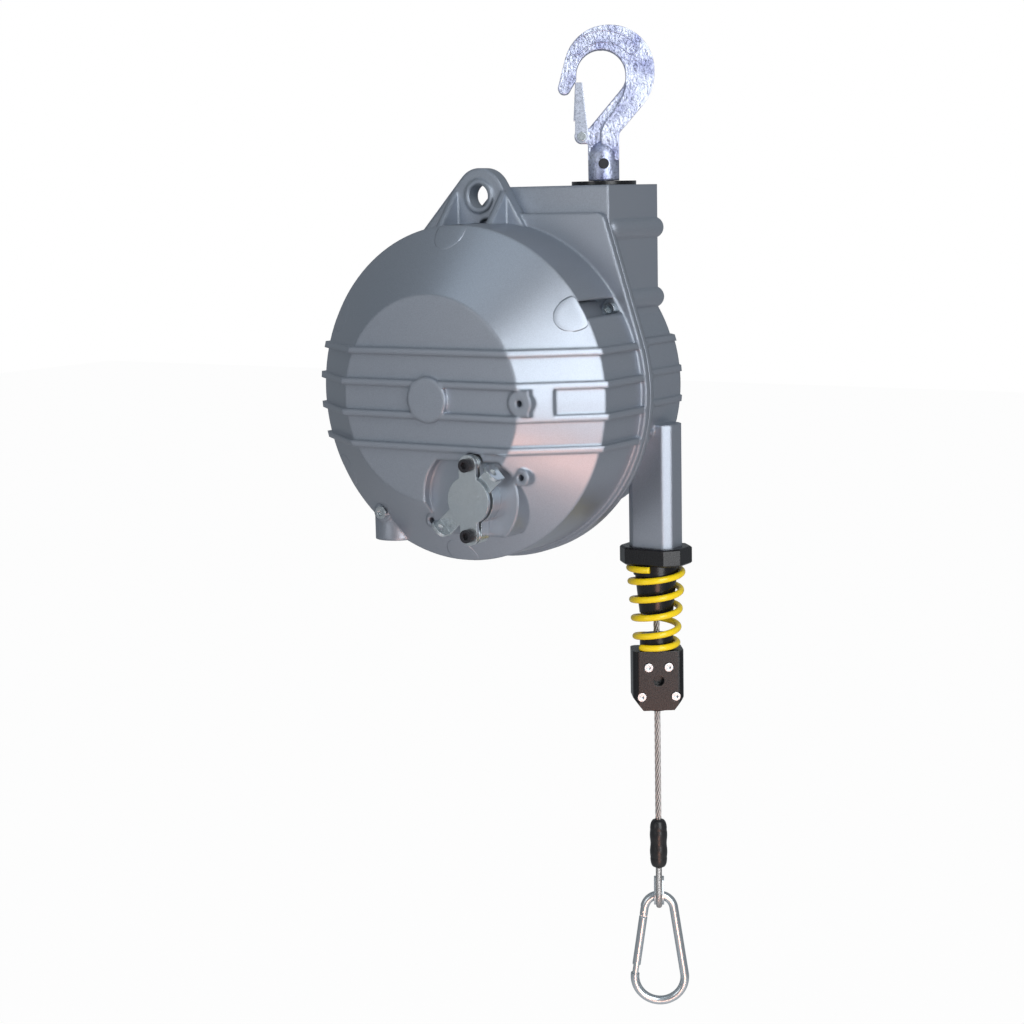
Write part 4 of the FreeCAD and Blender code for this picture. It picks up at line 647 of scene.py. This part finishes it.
def coiled_spring():
    """A wire on a slowly narrowing helix; its end turns lie close, and the pitch swells in between."""
    turn = np.linspace(0, SPRING_TURNS, 511)
    swell = np.clip((turn - 0.35) / 0.5, 0, 1) * np.clip((4.75 - turn) / 0.5, 0, 1)
    fall = np.r_[0, np.cumsum(0.35 + 0.65 * swell)[:-1]]
    share = fall / fall[-1]
    angle = SPRING_START - 2 * np.pi * turn
    radius = SPRING_TOP_R - SPRING_NARROWS * share
    height = SPRING_TOP - SPRING_WIRE_R - share * (SPRING_TOP - SPRING_LOW - 2 * SPRING_WIRE_R)
    path = np.stack([ROPE_AT[0] + radius * np.cos(angle), ROPE_AT[1] + radius * np.sin(angle), height], 1)
    tangent, side, across = path_frames(path)
    round_it = 2 * np.pi * np.arange(16) / 16
    return path[:, None] + SPRING_WIRE_R * (side[:, None] * np.cos(round_it)[:, None]
                                            + across[:, None] * np.sin(round_it)[:, None])


spring_mesh = grid_mesh("coiled_spring", coiled_spring())
spring = add_piece("coiled_spring", spring_mesh, "housing", YELLOW)
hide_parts("bumper_spring")

# ------------------------------------------------------------------ stop clamp and rope end
# Two moulded halves grip the rope between four screws. The rope ends in an eye round a pressed thimble,
# closed by a swaged sleeve under black shrink tube, and a bent-wire carabiner hangs in it.
dress(["clamp_front", "clamp_rear"], BLACK_PLASTIC)
dress(["clamp_screws", "thimble", "gate_pin"], ZINC)
SHRINK = grained("black_rubber", (0.012, 0.012, 0.013), roughness=0.33, metallic=0.0, scale=300,
                 contrast=0.3, bump=0.2, depth=0.0002, edge=0.0005)


SLEEVE_MIDDLE, SLEEVE_HALF = -0.634, 0.020
SLEEVE_R = 0.0069
SLEEVE_LOW_R, SLEEVE_HIGH_R = 0.0042, 0.0034     # at the two ends
SWAGE_DEPTH = 0.00025
STRAIGHT_SHARE = 0.62


def sleeve_profile():
    """A straight tube with a quarter ellipse at each end, pinched a little where it was swaged."""
    height = np.linspace(-1, 1, 61)
    end = np.clip((np.abs(height) - STRAIGHT_SHARE) / (1 - STRAIGHT_SHARE), 0, 1)
    rim = np.where(height < 0, SLEEVE_LOW_R, SLEEVE_HIGH_R)
    pinch = SWAGE_DEPTH * np.cos(9 * height) * (end < 0.01)
    radius = rim + (SLEEVE_R - rim) * np.sqrt(np.maximum(1 - end ** 2, 0)) - pinch
    return np.stack([radius, SLEEVE_MIDDLE + SLEEVE_HALF * height], 1)


sleeve_mesh = grid_mesh("shrink_sleeve", turned_piece(sleeve_profile(), ROPE_AT))
sleeve = add_piece("shrink_sleeve", sleeve_mesh, "rope_end", SHRINK)
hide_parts("rope_sleeve")
dress(["rope_eye", "rope_inner", "rope_on_drum"], ROPE_STEEL)
dress(["carabiner_body", "carabiner_gate"], ZINC)

# ------------------------------------------------------------------ brake
# The drum brake is zinc-plated pressed steel under an oval cap, held by two black socket screws.
dress(["lock_cap_plate", "lock_spacer", "lock_lever"], ZINC)
dress(["lock_screws"], BLACK_OXIDE)
dress(["lock_bolt"], BARE)

# ------------------------------------------------------------------ load adjuster
# A worm under the cover turns the wheel on the shaft and winds the spring.
BRONZE = grained("bronze", (0.55, 0.36, 0.15), roughness=0.35, metallic=1.0, scale=500, contrast=0.3,
                 bump=0.1, depth=0.00005)
dress(["adjuster_worm"], BARE)
dress(["worm_bush", "worm_wheel", "front_bush", "rear_bush"], BRONZE)
dress(["worm_bush_screw"], ZINC)

# ------------------------------------------------------------------ shaft, mainspring and drum
# The strip spring lies in its case, which is screwed to the grooved drum; both turn on ball bearings.
BLUED = grained("spring_steel", (0.16, 0.18, 0.26), roughness=0.3, metallic=1.0, scale=400, contrast=0.4,
                bump=0.1, depth=0.00005)
MACHINED = grained("cast_inner", (0.55, 0.55, 0.57), roughness=0.35, metallic=0.9, scale=800, contrast=0.3,
                   bump=0.1, depth=0.00008)
dress(["main_shaft", "spring_arbor", "drum_bearings", "spring_case_lid"], BARE)
dress(["mainspring"], BLUED)
dress(["spring_case", "rope_drum"], MACHINED)
dress(["drum_screws", "shaft_circlips"], BLACK_OXIDE)
